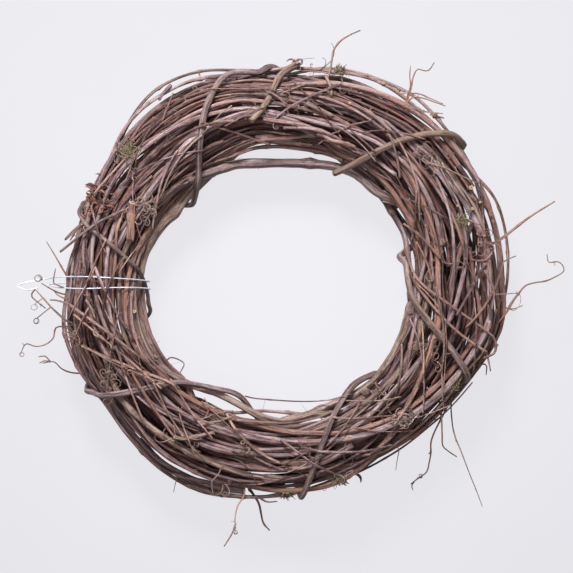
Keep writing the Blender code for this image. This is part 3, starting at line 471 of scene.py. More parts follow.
def resample(points, spacing):
    """A smooth curve through the points, as evenly spaced points."""
    points = np.array(points, float)
    padded = np.vstack([2 * points[0] - points[1], points, 2 * points[-1] - points[-2]])
    t = np.linspace(0, 1, 12, endpoint=False)[:, None]
    fine = [0.5 * (2 * b + (c - a) * t + (2 * a - 5 * b + 4 * c - d) * t ** 2
                   + (3 * b - a - 3 * c + d) * t ** 3)
            for a, b, c, d in zip(padded, padded[1:], padded[2:], padded[3:])]
    fine = np.vstack(fine + [points[-1:]])
    length = np.append(0, np.cumsum(np.linalg.norm(np.diff(fine, axis=0), axis=1)))
    at = np.linspace(0, length[-1], max(2, round(length[-1] / spacing)) + 1)
    return np.column_stack([np.interp(at, length, column) for column in fine.T])


class Loose(Strands):
    """Binders, twigs, tendrils and the wire, laid over a bundle that no longer moves."""

    def __init__(self, laid, bundle):
        super().__init__([piece["points"] for piece in laid], [piece["radius"] for piece in laid])
        self.laid, self.bundle = laid, bundle

        def each(key, kind=float):
            return np.concatenate([np.broadcast_to(np.asarray(p[key], kind), len(p["points"])) for p in laid])

        self.down, self.inward, self.hold = each("down"), each("inward"), each("hold")
        self.tension, self.spring = each("tension"), each("spring")
        self.parent = each("parent", int)
        self.free = (~(self.is_first & (self.parent >= 0))).astype(float)
        self.resting = np.zeros(len(self.points), bool)
        self.rest_height = self.radius * math.cos(math.pi / BINDER_SIDES)

    def follow(self, way, k):
        push = way * self.free[k][:, None]
        push[self.resting[k], 2] = 0
        return push

    def nearby(self, reach):
        """Pairs with the bundle's line pieces, and pairs among the loose pieces themselves."""
        middle, half, thick = self.spans(self)
        others = self.spans(self.bundle)
        i, j = np.nonzero(self.within(middle, half, thick, *others, reach))
        i, j = self.pieces[i], self.bundle.pieces[j]
        apart = self.parent[i] != self.bundle.chain[j]
        on_bundle = np.stack([i[apart], j[apart]])
        i, j = np.nonzero(np.triu(self.within(middle, half, thick, middle, half, thick, reach), 1))
        i, j = self.pieces[i], self.pieces[j]
        same = (self.chain[i] == self.chain[j]) & (np.abs(i - j) < 4)
        family = (self.parent[i] == self.parent[j]) & (self.parent[i] >= 0) & (self.chain[i] != self.chain[j])
        return on_bundle, np.stack([i[~same & ~family], j[~same & ~family]])

    @staticmethod
    def spans(strands):
        a, b = strands.points[strands.pieces], strands.points[strands.pieces + 1]
        return (a + b) / 2, np.linalg.norm(b - a, axis=1) / 2, strands.radius[strands.pieces]

    @staticmethod
    def within(middle, half, thick, middle_b, half_b, thick_b, reach):
        apart = np.linalg.norm(middle[:, None] - middle_b[None], axis=2)
        return apart < (half + thick)[:, None] + (half_b + thick_b)[None] + reach

    def pull(self, strength):
        """Draws binders in towards the middle of the section, twigs down, and all to their courses."""
        self.points += self.bend(self.points - self.start, 1) * (self.spring * self.free)[:, None]
        inner = ~(self.is_first | self.is_last)
        self.points += self.bend(self.points, 1) * (self.tension * inner)[:, None]
        middle, _, angle = section_under(self.points)
        height = np.full(len(angle), MIDDLE_Z)
        core = np.column_stack([middle * np.cos(angle), middle * np.sin(angle), height])
        way = core - self.points
        way /= np.maximum(np.linalg.norm(way, axis=1), 1e-6)[:, None]
        self.points += way * (0.35 * strength * self.inward)[:, None]
        self.points[:, 2] -= 0.35 * strength * self.down
        off = (self.start - self.points)[:, :2]
        self.points[:, :2] += off * (0.2 * self.hold * self.free)[:, None]

    def choose_rests(self):
        """Levels the lowest stretch, near its place, of each binder that the wreath rests on."""
        for k, piece in enumerate(self.laid):
            if piece["rests"] is None:
                continue
            at = np.flatnonzero(self.chain == k)[:1 - RESTING_POINTS]
            middle = self.points[at + RESTING_POINTS // 2]
            off = np.degrees(np.arctan2(middle[:, 1], middle[:, 0])) - piece["rests"]
            off = np.abs((off + 180) % 360 - 180)
            heights = np.mean([self.points[at + step, 2] for step in range(RESTING_POINTS)], axis=0)
            low = at[int(np.argmin(heights + RESTING_SLOPE * off))]
            self.resting[low:low + RESTING_POINTS] = True

    def settle(self, rounds=400):
        for turn in range(rounds):
            stage = turn / rounds
            if turn % 8 == 0:
                on_bundle, among = self.nearby(8)
            if turn == rounds // 2:
                self.choose_rests()
            if stage < 0.93:
                self.pull(1 - stage)
            self.points[:, 2] = np.maximum(self.points[:, 2], self.radius + FLOOR_GAP)
            self.points[self.resting, 2] = self.rest_height[self.resting]
            clearance = GAP + (0.2 if stage < 0.75 else 0.03)
            push_apart(self, self.bundle, on_bundle, (self.follow, held_still), clearance, 0.9)
            push_apart(self, self, among, (self.follow, self.follow), clearance, 0.9)


def held_still(way, k):
    return np.zeros_like(way)


def laid_piece(name, points, radius, colour, **more):
    piece = {"name": name, "points": points, "radius": radius, "colour": colour, "down": 0, "inward": 0,
             "hold": 0.5, "tension": 0, "spring": 0.2, "parent": -1, "rests": None}
    piece.update(more)
    return piece


def binder(name, diameter, course, degrees_start, degrees_end, sweep_start, sweep_end, rests):
    """A cane wound round the bundle, clear of it all round before it is drawn tight."""
    front = above_bundle(course, BINDER_LIFT)
    head = round_the_back(front[0], degrees_start, sweep_start, BINDER_LIFT)[::-1] if sweep_start else []
    tail = round_the_back(front[-1], degrees_end, sweep_end, BINDER_LIFT) if sweep_end else []
    points = resample(np.vstack([*head, *front, *tail]), BINDER_SPACING)
    off = np.linalg.norm(points[:, None, :2] - front[None, :, :2], axis=2).min(axis=1)
    seen = (off < 9) & (points[:, 2] > MIDDLE_Z)
    return laid_piece(name, points, diameter / 2, "binder", inward=1, hold=np.where(seen, 0.6, 0),
                      tension=0.25, spring=0.05, rests=rests)


def loose_twig(name, diameter, colour, course):
    points = resample(above_bundle(course, TWIG_LIFT), TWIG_SPACING)
    return laid_piece(name, points, diameter / 2 * ROUND_4, colour, down=1, hold=0.7, tension=0.05,
                      spring=0.1)


def shoot(bundle, number, diameter, rise, course):
    """A twig or tendril, from the centre of the cane near its root that leaves it the most room."""
    xy = np.array(course, float)
    radius = diameter / 2 * ROUND_3
    off = np.linalg.norm(bundle.points[:, :2] - xy[0], axis=1)
    best = None
    for k in np.argsort(off)[:14]:
        if bundle.radius[k] < 1.2 * radius or off[k] > 24:
            continue
        offset = (bundle.points[k, :2] - xy[0]) * 0.6 ** np.arange(len(xy))[:, None]
        length = np.append(0, np.cumsum(np.linalg.norm(np.diff(xy, axis=0), axis=1)))
        height = bundle.points[k, 2] + rise * length / length[-1]
        points = resample(np.column_stack([xy + offset, height]), SHOOT_SPACING)
        room = clear_room(bundle, points[:4], radius, bundle.chain[k]) - 0.12 * off[k]
        if best is None or room > best[0]:
            best = (room, points, int(bundle.chain[k]))
    return laid_piece(f"shoot_{number + 1:02d}", best[1], radius, "shoot", parent=best[2], hold=0.15,
                      spring=0.3)


def clear_room(bundle, points, radius, parent):
    """How far the first pieces of a shoot stay from every cane but its own."""
    k = bundle.pieces[bundle.chain[bundle.pieces] != parent]
    rooms = []
    for a, b in zip(points, points[1:]):
        a_all, b_all = np.broadcast_to(a, (len(k), 3)), np.broadcast_to(b, (len(k), 3))
        s, t = closest(a_all, b_all, bundle.points[k], bundle.points[k + 1])
        apart = a + (b - a) * s[:, None] - bundle.points[k] * (1 - t[:, None])
        apart = apart - bundle.points[k + 1] * t[:, None]
        rooms.append((np.linalg.norm(apart, axis=1) - radius - bundle.radius[k]).min())
    return min(rooms)


def wire_hanger():
    """Soft wire wound twice round the left of the bundle, with a hairpin of it bent out to hang by."""
    upper = above_bundle(WIRE_UPPER, WIRE_LIFT)
    lower = above_bundle(WIRE_LOWER, WIRE_LIFT)
    hairpin = np.array([(x, y, z) for x, y, z in WIRE_HAIRPIN], float)
    under = round_the_back(upper[-1], 180, 250, WIRE_LIFT)
    tail = round_the_back(lower[-1], 183, 150, WIRE_LIFT)
    points = resample(np.vstack([hairpin, upper, under, lower, tail]), WIRE_SPACING)
    loose_end = points[:, 0] < -232
    return laid_piece("wire_hanger", points, WIRE_DIAMETER / 2 * ROUND_4, "wire", inward=~loose_end,
                      hold=np.where(loose_end, 1, 0.1), tension=np.where(loose_end, 0, 0.2), spring=0.05)


def loose_pieces(bundle):
    laid = [binder(*row) for row in BINDERS]
    laid += [loose_twig(*row) for row in LOOSE_TWIGS]
    laid.append(wire_hanger())
    laid += [shoot(bundle, number, *row) for number, row in enumerate(SHOOTS)]
    return Loose(laid, bundle)


# Fine surfaces

# How far apart rings of corners lie along a strand, and how many corners each has, by radius
RING_STEP, TWIG_STEP, TENDRIL_STEP = 4.6, 3.0, 1.6
CORNERS = ((4.2, 16), (2.4, 12), (1.3, 9), (0.8, 7), (0.0, 5))
LOBES = ((2, 0.5), (3, 0.4), (5, 0.3), (7, 0.2))    # ridges round a cane, and their share of its roughness
CAP_RIM = 0.9                # width of the wood in a cut end, as a share of the cane's

# How each kind of strand grows: step, wobble and kink in millimetres, least and most between knots,
# roughness of its section, swelling of its knots, how many of these carry a spur
HABITS = {
    "cane": (RING_STEP, 0.4, 1.2, 42, 95, 0.11, 0.30, 0.45),
    "thick": (RING_STEP, 0.4, 0.8, 60, 120, 0.14, 0.28, 0.35),
    "binder": (RING_STEP, 0.2, 0.4, 80, 150, 0.08, 0.18, 0.12),
    "thin": (TWIG_STEP, 0.3, 1.6, 32, 66, 0.08, 0.42, 0.60),
    "twig": (TWIG_STEP, 0.2, 0.8, 28, 58, 0.07, 0.42, 0.35),
    "tendril": (TENDRIL_STEP, 0.15, 0.2, 22, 50, 0.03, 0.30, 0.0),
}

# Bark colours, each from its darkest to its palest, and the tint that some canes take
BARKS = {
    "mauve": ((0.048, 0.018, 0.019), (0.180, 0.111, 0.116), (0.340, 0.268, 0.268), (0.265, 0.132, 0.082)),
    "tan": ((0.066, 0.033, 0.024), (0.200, 0.134, 0.102), (0.350, 0.262, 0.208), (0.170, 0.112, 0.104)),
    "grey": ((0.058, 0.034, 0.033), (0.175, 0.120, 0.112), (0.305, 0.235, 0.220), (0.195, 0.120, 0.094)),
    "red": ((0.070, 0.024, 0.017), (0.215, 0.116, 0.086), (0.380, 0.264, 0.216), (0.170, 0.100, 0.092)),
    "rust": ((0.050, 0.015, 0.009), (0.170, 0.062, 0.038), (0.330, 0.160, 0.105), (0.120, 0.055, 0.038)),
    "binder": ((0.042, 0.023, 0.024), (0.128, 0.083, 0.084), (0.268, 0.198, 0.198), (0.185, 0.122, 0.084)),
}
SLOTS = {"mauve": "mauve_bark", "tan": "tan_bark", "grey": "grey_bark", "red": "red_bark",
         "binder": "binder_bark"}

BINDER_TINTS = {"binder_upper_right": 1.3, "binder_top": 1.1, "binder_top_left": 0.0, "binder_bottom": 0.2}

# Thin strands that run among the canes and have no solids. Most of them keep within a share of the
# bundle's half width, to its inner and its outer side
STRANDS = 84
STRAND_SPACING = 24.0
STRAND_INNERMOST, STRAND_OUTERMOST = -0.60, 0.64
STRAND_DIAMETERS = (3.4, 2.4, 4.2, 2.0, 3.0, 3.8, 2.7)
STRAND_COLOURS = ("red", "mauve", "mauve", "tan", "mauve", "red", "mauve", "mauve", "red", "mauve", "tan",
                  "mauve")

# Short twigs and runners that lie across the canes on the front
CROSSING = 74
CROSSING_DIAMETERS = (1.6, 2.4, 1.3, 2.9, 1.9, 2.2, 1.5)
CROSSING_COLOURS = ("red", "mauve", "tan", "mauve", "red", "mauve", "mauve", "tan")

# Where lichen grows: x, y and reach
LICHEN = ((-162, 139, 13), (180, 66, 9), (2, -219, 9), (57, 222, 6), (56, -203, 9), (177, -103, 7))

# Clusters of curled wisps: x, y, reach, how many, colour
WISPS = (
    (-147, 82, 11, 22, "tan"), (-182, -98, 10, 10, "tan"), (5, 196, 16, 7, "tan"), (-15, 168, 12, 7, "tan"),
    (152, -64, 11, 10, "red"), (199, 46, 10, 8, "red"), (-43, -172, 7, 5, "tan"), (21, -171, 7, 5, "red"),
    (113, -134, 11, 7, "tan"), (34, 228, 5, 4, "tan"), (-215, -50, 10, 8, "red"), (-160, 120, 14, 7, "tan"),
    (60, 205, 14, 6, "tan"), (170, 20, 12, 6, "red"), (-205, 10, 12, 6, "red"), (-120, 160, 16, 6, "tan"),
    (-70, -205, 12, 5, "tan"), (60, -190, 14, 6, "tan"), (-110, -150, 12, 5, "red"), (150, 130, 16, 6, "tan"),
)
# Scraps of bark that hang in the canes: x, y, reach, how many, colour
SCRAPS = (
    (-194, 86, 17, 60, "rust"), (13, 228, 5, 12, "tan"), (70, -201, 9, 8, "tan"), (-165, 138, 10, 10, "tan"),
    (97, -108, 7, 9, "tan"), (185, 66, 9, 8, "tan"), (-185, -60, 12, 8, "tan"), (120, -136, 6, 9, "tan"),
)
# Knots where a side shoot broke away: x, y, size, colour
LUMPS = (
    (84, -111, 4.6, "tan"), (162, 43, 3.8, "tan"), (57, 223, 3.2, "tan"),
    (124, -137, 3.6, "tan"), (12, 228, 3.2, "tan"), (154, 174, 2.8, "mauve"), (-133, -74, 2.6, "tan"),
    (-96, 108, 3.0, "tan"), (128, -29, 2.8, "mauve"),
)
# Stubs that were cut short and point up at the camera: x, y, diameter, colour
STUBS = (
    (191, 100, 4.8, "tan"), (200, 85, 2.8, "tan"), (191, 78, 3.0, "tan"), (176, 81, 2.6, "tan"),
    (66, 186, 3.0, "tan"), (102, 209, 2.8, "red"), (203, 51, 3.0, "red"), (-154, -27, 3.2, "tan"),
)

# Sticks, twigs and tendrils that lie on the front and have no solids: diameter, colour, course
LYING = (
    (2.0, "tan", ((157, 126), (167, 102), (177, 80))),
    (2.1, "tan", ((160, 125), (175, 101), (191, 78))),
    (1.6, "red", ((138, 131), (146, 133), (154, 132))),
    (3.4, "red", ((42, 214), (46, 204), (48, 193))),
    (4.4, "mauve", ((-22, 169), (8, 165), (38, 156), (72, 141))),
    (3.6, "mauve", ((-2, 161), (28, 160), (55, 148), (80, 131))),
    (0.9, "tan", ((0, 203), (2, 194), (2, 180), (3, 170))),
    (1.9, "tan", ((150, 176), (156, 175), (165, 174))),
    (1.3, "red", ((201, 57), (197, 46), (199, 38), (203, 44), (205, 51))),
    (1.6, "tan", ((162, -72), (160, -98), (163, -129))),
    (1.4, "tan", ((126, -118), (130, -130), (137, -134))),
    (5.2, "tan", ((22, 186), (34, 180), (48, 172))),
    (4.7, "tan", ((178, 123), (184, 112), (192, 100))),
    (4.9, "tan", ((-114, -155), (-98, -157), (-72, -150))),
    (1.1, "tan", ((-73, -181), (-69, -176), (-60, -176), (-44, -181), (-34, -193), (-28, -203))),
    (1.5, "red", ((-64, -184), (-69, -194), (-75, -200))),
    (1.2, "mauve", ((-83, -116), (-79, -123), (-79, -130), (-84, -138))),
    (1.3, "mauve", ((-88, -139), (-80, -136), (-72, -132), (-61, -131), (-53, -130))),
    (2.5, "tan", ((-202, -14), (-198, -24), (-195, -36))),
    (1.9, "tan", ((-211, -8), (-202, -13), (-196, -22))),
    (3.5, "mauve", ((-118, 207), (-125, 199), (-130, 191))),
    (7.8, "mauve", ((-158, 45), (-157, 65), (-155, 84))),
    (3.1, "mauve", ((205, 22), (189, -6), (175, -31))),
    (2.6, "red", ((195, 21), (204, -3), (212, -26))),
    (2.3, "red", ((204, 15), (212, -4), (211, -25))),
    (2.1, "mauve", ((191, 26), (199, 24), (207, 26), (212, 33))),
    (1.4, "red", ((174, 14), (183, 20), (193, 24))),
    (1.5, "mauve", ((-43, -117), (-18, -119), (7, -121), (31, -121), (53, -118), (69, -112))),
)
# Twigs and tendrils that stand out past the edge: diameter, colour, rise, course from the root
STRAY = (
    (1.2, "mauve", 2, ((110, -169), (114, -166), (117, -170), (115, -178), (113, -189))),
    (2.3, "mauve", -6, ((209, -65), (210, -75), (212, -87))),
    (2.1, "mauve", -4, ((-224, -12), (-234, -12), (-241, -13))),
    (1.8, "mauve", 3, ((-230, -12), (-236, -9), (-238, -6))),
    (1.6, "mauve", 4, ((-226, 0), (-234, 2), (-237, 4), (-235, 17))),
    (2.4, "red", 1, ((-30, -222), (-20, -226), (-9, -225))),
    (1.6, "mauve", 2, ((224, 28), (230, 29), (237, 31))),
    (1.2, "red", 10, ((221, -11), (230, -9), (241, -9), (241, -18), (234, -26), (225, -22))),
    (1.3, "red", -8, ((241, -8), (232, -20), (227, -29), (219, -39))),
    (1.1, "mauve", -3, ((-112, -201), (-114, -208), (-115, -216))),
    (1.2, "mauve", -3, ((-81, -203), (-78, -209), (-75, -216))),
    (2.1, "mauve", 3, ((-42, -243), (-50, -254), (-60, -267))),
    (1.6, "mauve", 1, ((130, -204), (130, -209), (133, -214))),
    (1.6, "red", 4, ((-242, -79), (-249, -78), (-255, -80))),
    (1.6, "red", -3, ((-242, -79), (-249, -74), (-256, -75))),
    (1.8, "red", -5, ((-263, -1), (-264, -8), (-261, -13), (-249, -24))),
    (1.9, "mauve", 0, ((116, 200), (139, 199), (163, 188))),
    (4.2, "red", 4, ((-211, 67), (-218, 58), (-226, 48))),
    (2.4, "red", 5, ((-212, 64), (-217, 56), (-221, 46))),
    (0.9, "mauve", 2, ((12, 222), (18, 231), (32, 234))),
)
# Coiled tendrils: x and y of the coil, its radius and turns, the tendril's diameter, its colour
COILS = (
    (153, -59, 5.7, 2.6, 1.3, "red"), (153, -72, 4.6, 2.2, 1.3, "red"), (199, 53, 3.3, 1.2, 1.2, "red"),
    (199, 42, 2.7, 1.2, 1.2, "red"), (-222, -46, 3.1, 2, 1.0, "red"), (-221, -55, 2.7, 2, 1.0, "red"),
    (-215, -49, 2.5, 1.5, 1.0, "red"), (-256, 7, 4.4, 1.3, 1.4, "red"), (-259, -23, 3.8, 1.2, 0.8, "mauve"),
    (-256, -37, 3.4, 2, 1.1, "mauve"), (-163, -84, 3.6, 2, 1.2, "red"), (-158, -88, 2.5, 2, 1.0, "red"),
    (-185, -101, 4.6, 2.5, 1.0, "tan"), (-180, -106, 3.1, 2, 1.0, "red"), (-148, 87, 3.5, 2, 1.2, "tan"),
    (-141, 79, 4.1, 2, 1.2, "tan"), (-135, 75, 3.1, 2, 1.1, "tan"), (-39, -169, 4.1, 2.2, 1.2, "tan"),
    (-43, -161, 2.5, 2, 1.1, "tan"), (-91, -163, 3.1, 1.6, 1.1, "tan"), (142, -200, 2.3, 1.3, 1.3, "mauve"),
    (41, -212, 2.0, 1.2, 0.7, "tan"), (-269, -71, 2.6, 1.2, 1.1, "mauve"), (-107, 197, 2.6, 1.5, 0.9, "tan"),
    (-93, 202, 2.8, 1.5, 0.9, "tan"), (-50, -253, 2.1, 2, 1.0, "tan"), (214, 71, 2.1, 2, 1.2, "red"),
)
FLAKES, FIBRES = 150, 260    # bark strips that peel off the canes, and loose fibres
FLAKE_THICKNESS, SCRAP_THICKNESS = 0.16, 0.25    # half the thickness of peeling bark and of loose scraps
SETTLING = 160               # rounds in which thin strands, and then lying twigs, are pushed clear

# Least and most length, radius or half width of the fine pieces, in millimetres
CROSSING_LENGTHS, CROSSING_SLANTS = (35, 120), (0.12, 0.75)    # slants in radians off the canes' own way
WISP_LENGTHS, WISP_RADII = (10, 34), (0.3, 0.65)
FLAKE_WIDTHS, FLAKE_LIFTS, SCRAP_WIDTHS = (0.6, 1.5), (0.5, 3.0), (0.6, 1.7)
FIBRE_LENGTHS, FIBRE_RADII, FIBRE_RISE = (7, 20), (0.16, 0.32), (0.1, 0.9)
TUFT_LENGTHS, TUFT_RADII, TUFT_RISE = (2.5, 5.0), (0.25, 0.55), (0.2, 1.4)
TUFT_THREADS = 16            # threads of lichen for each millimetre of a tuft's reach
SPUR_LENGTHS = (0.8, 4.5)

# Seeds of the random draws. Canes, loose pieces and strands each add a number to their own
STRAND_SEED, TWIG_SEED, LITTER_SEED, PEEL_SEED, LICHEN_SEED, KNOT_SEED = 11, 37, 41, 43, 47, 53
CANE_BARK_SEED, LOOSE_BARK_SEED, STRAND_BARK_SEED = 1000, 2000, 3000

# Colours in the bark beside its own: cracks, painted shade deep in the bundle, cut wood, lichen on the bark,
# and the tufts' threads
CRACK, CLEAR, DEEP_SHADE = (0.22, 0.16, 0.17), (1.0, 1.0, 1.0), (0.36, 0.24, 0.25)
CUT_WOOD = ((0.02, (0.15, 0.08, 0.04)), (0.3, (0.50, 0.35, 0.21)), (0.65, (0.74, 0.57, 0.39)))
LICHEN_CRUST = (0.120, 0.094, 0.060)
LICHEN_THREAD = ((0.2, (0.050, 0.038, 0.022)), (0.5, (0.145, 0.116, 0.066)), (0.8, (0.280, 0.240, 0.160)))
WIRE_METAL = ((0.30, (0.40, 0.42, 0.48)), (0.60, (0.64, 0.66, 0.74)))
BARK_RELIEF, WIRE_RELIEF = 0.0022, 0.0002    # height of the bump in metres

# Studio, in metres and watts. The floor glows a little less towards the edge of the picture
FLOOR_COLOUR = ((0.3, (0.025, 0.025, 0.025)), (0.7, (0.031, 0.031, 0.031)))
FLOOR_SIZE, FLOOR_Z = 8, -0.0001
GLOW_COLOUR = (0.957, 0.950, 1.0, 1)
GLOW = {"From Min": 0.05, "From Max": 0.45, "To Min": 0.815, "To Max": 0.745}
SKY_COLOUR, SKY_STRENGTH = (1.0, 0.91, 0.93, 1), 0.16
# Lamps: name, diameter, power, place, colour
LAMPS = (
    ("key", 0.6, 77, (-0.25, 1.25, 1.30), (1.0, 0.99, 0.99)),
    ("fill", 1.2, 22, (-0.4, -0.2, 2.1), (1.0, 0.965, 0.985)),
)
LAMP_TARGET = (0, 0, 0.04)

# Camera: the photograph's frame in millimetres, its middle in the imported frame, and its height
FRAME_WIDTH, FRAME_X, FRAME_Y, CAMERA_HEIGHT, FRAME_Z = 590.0, -1.2, -3.3, 2300.0, 60.0
SENSOR_WIDTH = 36


def wander(rng, along, wavelength):
    """A value that drifts smoothly between -1 and 1 along a strand."""
    marks = rng.uniform(-1, 1, int(along[-1] / wavelength) + 5)
    place = along / wavelength + 1
    k = place.astype(int)
    t = place - k
    a, b, c, d = marks[k - 1], marks[k], marks[k + 1], marks[k + 2]
    return b + 0.5 * t * (c - a + t * (2 * a - 5 * b + 4 * c - d + t * (3 * (b - c) + d - a)))


def distances(points):
    return np.append(0, np.cumsum(np.linalg.norm(np.diff(points, axis=0), axis=1)))


def frames(points):
    """The way along a chain at every point, and two directions across it that turn no more than it."""
    way = np.gradient(points, axis=0)
    way /= np.linalg.norm(way, axis=1)[:, None]
    side = np.cross(way[0], (0.1, 0.2, 1))
    sides = []
    for step in way:
        side = side - step * side.dot(step)
        side = side / np.linalg.norm(side)
        sides.append(side)
    sides = np.array(sides)
    return way, sides, np.cross(sides, way)


def corners_for(radius):
    return next(count for least, count in CORNERS if radius >= least)


class Skin:
    """The surface of one piece, and at each of its corners what the bark's material reads there.

    bark is the place along the strand and across it, in metres. mark holds the strand's tone, how near
    a knot is, and 1 on cut wood. The third attribute holds lichen, the strand's tint, and how deep in the
    bundle it lies, by which depth the bark is darkened as painted shade.
    """

    def __init__(self):
        self.corners, self.faces, self.bark, self.mark, self.stain_and_shade = [], [], [], [], []
        self.count = 0

    def add(self, corners, faces, bark, mark, stain_and_shade):
        self.corners.append(corners)
        self.faces += [tuple(self.count + k for k in face) for face in faces]
        self.bark.append(bark)
        self.mark.append(mark)
        self.stain_and_shade.append(stain_and_shade)
        self.count += len(corners)

    def tube(self, points, reach, along, knotted, tone, tint, slant=(0.3, 0.3), pointed=False):
        """A closed tube; reach is how far its bark stands from the centre line, along and round it."""
        rings, sides = reach.shape
        way, side, up = frames(points)
        angle = 2 * math.pi * np.arange(sides) / sides
        spoke = np.cos(angle)[None, :, None] * side[:, None] + np.sin(angle)[None, :, None] * up[:, None]
        body = points[:, None] + reach[..., None] * spoke
        body[0] -= way[0] * (slant[0] * reach[0] * np.sin(angle))[:, None]
        body[-1] += way[-1] * (slant[1] * reach[-1] * np.sin(angle))[:, None]
        tip = 1.6 * reach[-1].mean() if pointed else 0
        first, last = points[0], points[-1] + way[-1] * tip
        rims = [first + CAP_RIM * (body[0] - first), points[-1] + CAP_RIM * (body[-1] - points[-1])]
        corners = np.vstack([body.reshape(-1, 3), *rims, [first, last]])

        ring = np.arange(sides)
        after = np.roll(ring, -1)
        faces = []
        for k in range(rings - 1):
            here, there = k * sides, (k + 1) * sides
            faces += list(zip(here + ring, here + after, there + after, there + ring))
        low, high = rings * sides, (rings + 1) * sides
        end, start_tip, end_tip = (rings - 1) * sides, (rings + 2) * sides, (rings + 2) * sides + 1
        faces += list(zip(after, ring, low + ring, low + after))
        faces += list(zip(low + after, low + ring, np.full(sides, start_tip)))
        faces += list(zip(end + ring, end + after, high + after, high + ring))
        faces += list(zip(high + ring, high + after, np.full(sides, end_tip)))

        across = reach[..., None] * np.stack([np.cos(angle), np.sin(angle)], axis=1)[None]
        bark = np.dstack([np.broadcast_to(along[:, None], reach.shape), across]).reshape(-1, 3)
        middles = [(along[0], 0, 0), (along[-1], 0, 0)]
        caps = np.vstack([CAP_RIM * bark[:sides], CAP_RIM * bark[-sides:], middles])
        whole = np.zeros(rings * sides)
        mark = np.column_stack([whole + tone, np.repeat(knotted, sides), whole])
        bare = 0.0 if pointed else 1.0
        ends = np.column_stack([np.full(2 * sides + 2, tone), np.append(np.zeros(2 * sides), [1, bare]),
                                np.append(np.ones(sides), np.append(np.full(sides, bare), [1, bare]))])
        # The third value, depth in the bundle, darkens the bark as painted shade deep among the canes
        stain_and_shade = np.column_stack([lichen_on(corners), np.full(len(corners), tint), depth_of(corners)])
        self.add(corners, faces, np.vstack([bark, caps]) * MM, np.vstack([mark, ends]), stain_and_shade)

    def build(self, name, material):
        corners = (np.vstack(self.corners) + (RING_X, RING_Y, 0)) * MM
        corners[:, 2] = np.maximum(corners[:, 2], 0)
        mesh = bpy.data.meshes.new(name)
        mesh.from_pydata(corners.tolist(), [], self.faces)
        for key, values in (("bark", self.bark), ("mark", self.mark), ("stain_and_shade", self.stain_and_shade)):
            layer = mesh.attributes.new(key, "FLOAT_VECTOR", "POINT")
            layer.data.foreach_set("vector", np.vstack(values).astype(np.float32).ravel())
        mesh.shade_smooth()
        mesh.materials.append(material)
        made = bpy.data.objects.new(name, mesh)
        bpy.context.scene.collection.objects.link(made)
        return made


def random_way(rng, least, most):
    """A direction to any side that rises by between the least and the most."""
    way = np.array([*rng.normal(0, 1, 2), rng.uniform(least, most)])
    return way / np.linalg.norm(way)


def strip(skin, line, width, thickness, place, tone, tint):
    """Adds a flat strip of bark along a line, from a place of its own in the bark's pattern."""
    thin = np.full(len(line), thickness)
    reach = np.column_stack([width, thin, width, thin])
    skin.tube(line, reach, distances(line) + place, np.zeros(len(line)), tone, tint, (0, 0), True)


def lichen_on(corners):
    """How thickly lichen covers each corner."""
    cover = np.zeros(len(corners))
    for x, y, reach in LICHEN:
        off = np.hypot(corners[:, 0] - x, corners[:, 1] - y) / reach
        cover = np.maximum(cover, np.exp(-off ** 2))
    return cover


def depth_of(corners):
    """How deep each corner lies in the bundle: 0 at its surface and outside, 1 in its middle."""
    middle, half_width, _ = section_under(corners)
    across = np.abs(np.hypot(corners[:, 0], corners[:, 1]) - middle) / half_width
    up = np.abs(corners[:, 2] - MIDDLE_Z) / HALF_DEPTH
    return np.clip(1 - (across ** BULGE + up ** BULGE) ** (1 / BULGE), 0, 1)


def grow(skin, rng, points, radii, habit, tint=None, slant=None, pointed=False):
    """Adds a strand with its small bends, knots and spurs; radii are its radius at both ends."""
    step, wobble, kink, least, most, rough, swelling, spurred = HABITS[habit]
    points = resample(points, step)
    along = distances(points)
    _, side, up = frames(points)
    knots = np.cumsum(rng.uniform(least, most, int(along[-1] / least) + 2)) - rng.uniform(0, least)
    knots = knots[(knots > 4) & (knots < along[-1] - 4)]
    bends = np.concatenate([[0], knots, [along[-1]]])
    fade = np.clip(along / 12, 0, 1)[:, None]
    for across in (side, up):
        drift = wobble * wander(rng, along, 46)
        drift += kink * np.interp(along, bends, rng.uniform(-1, 1, len(bends)))
        points = points + across * drift[:, None] * fade

    radius = radii[0] + (radii[1] - radii[0]) * (along / along[-1]) ** 1.5
    angle = 2 * math.pi * np.arange(corners_for(max(radii))) / corners_for(max(radii))
    shape = np.ones((len(along), len(angle)))
    for lobes, share in LOBES:
        turn = rng.uniform(0, 2 * math.pi) + 1.5 * wander(rng, along, 120)
        depth = rough * share * (0.6 + 0.4 * wander(rng, along, 40))
        shape += depth[:, None] * np.cos(lobes * angle - turn[:, None])
    shape += 0.07 * wander(rng, along, 25)[:, None] + 0.05 * wander(rng, along, 9)[:, None]
    knotted = np.zeros(len(along))
    spots = []
    for place in knots:
        thick = np.interp(place, along, radius)
        swell = np.exp(-((along - place) / (0.9 * thick + 1.2)) ** 2)
        facing = rng.uniform(0, 2 * math.pi)
        shape += swelling * swell[:, None] * (0.5 + np.maximum(0, np.cos(angle - facing)))
        knotted = np.maximum(knotted, swell)
        spots.append((int(np.argmax(swell)), facing, thick))
    tone, own_tint = rng.uniform(-1, 1), rng.uniform(0, 1) ** 1.5
    tint = own_tint if tint is None else tint
    slant = (rng.uniform(-0.3, 0.3), rng.uniform(-1.0, 0.1)) if slant is None else slant
    offset = rng.uniform(0, 5000)
    skin.tube(points, radius[:, None] * shape, along + offset, knotted, tone, tint, slant, pointed)
    for k, facing, thick in spots:
        if rng.uniform() < spurred:
            way = math.cos(facing) * side[k] + math.sin(facing) * up[k]
            spur(skin, rng, points[k], way, thick, tone, tint)
    return points


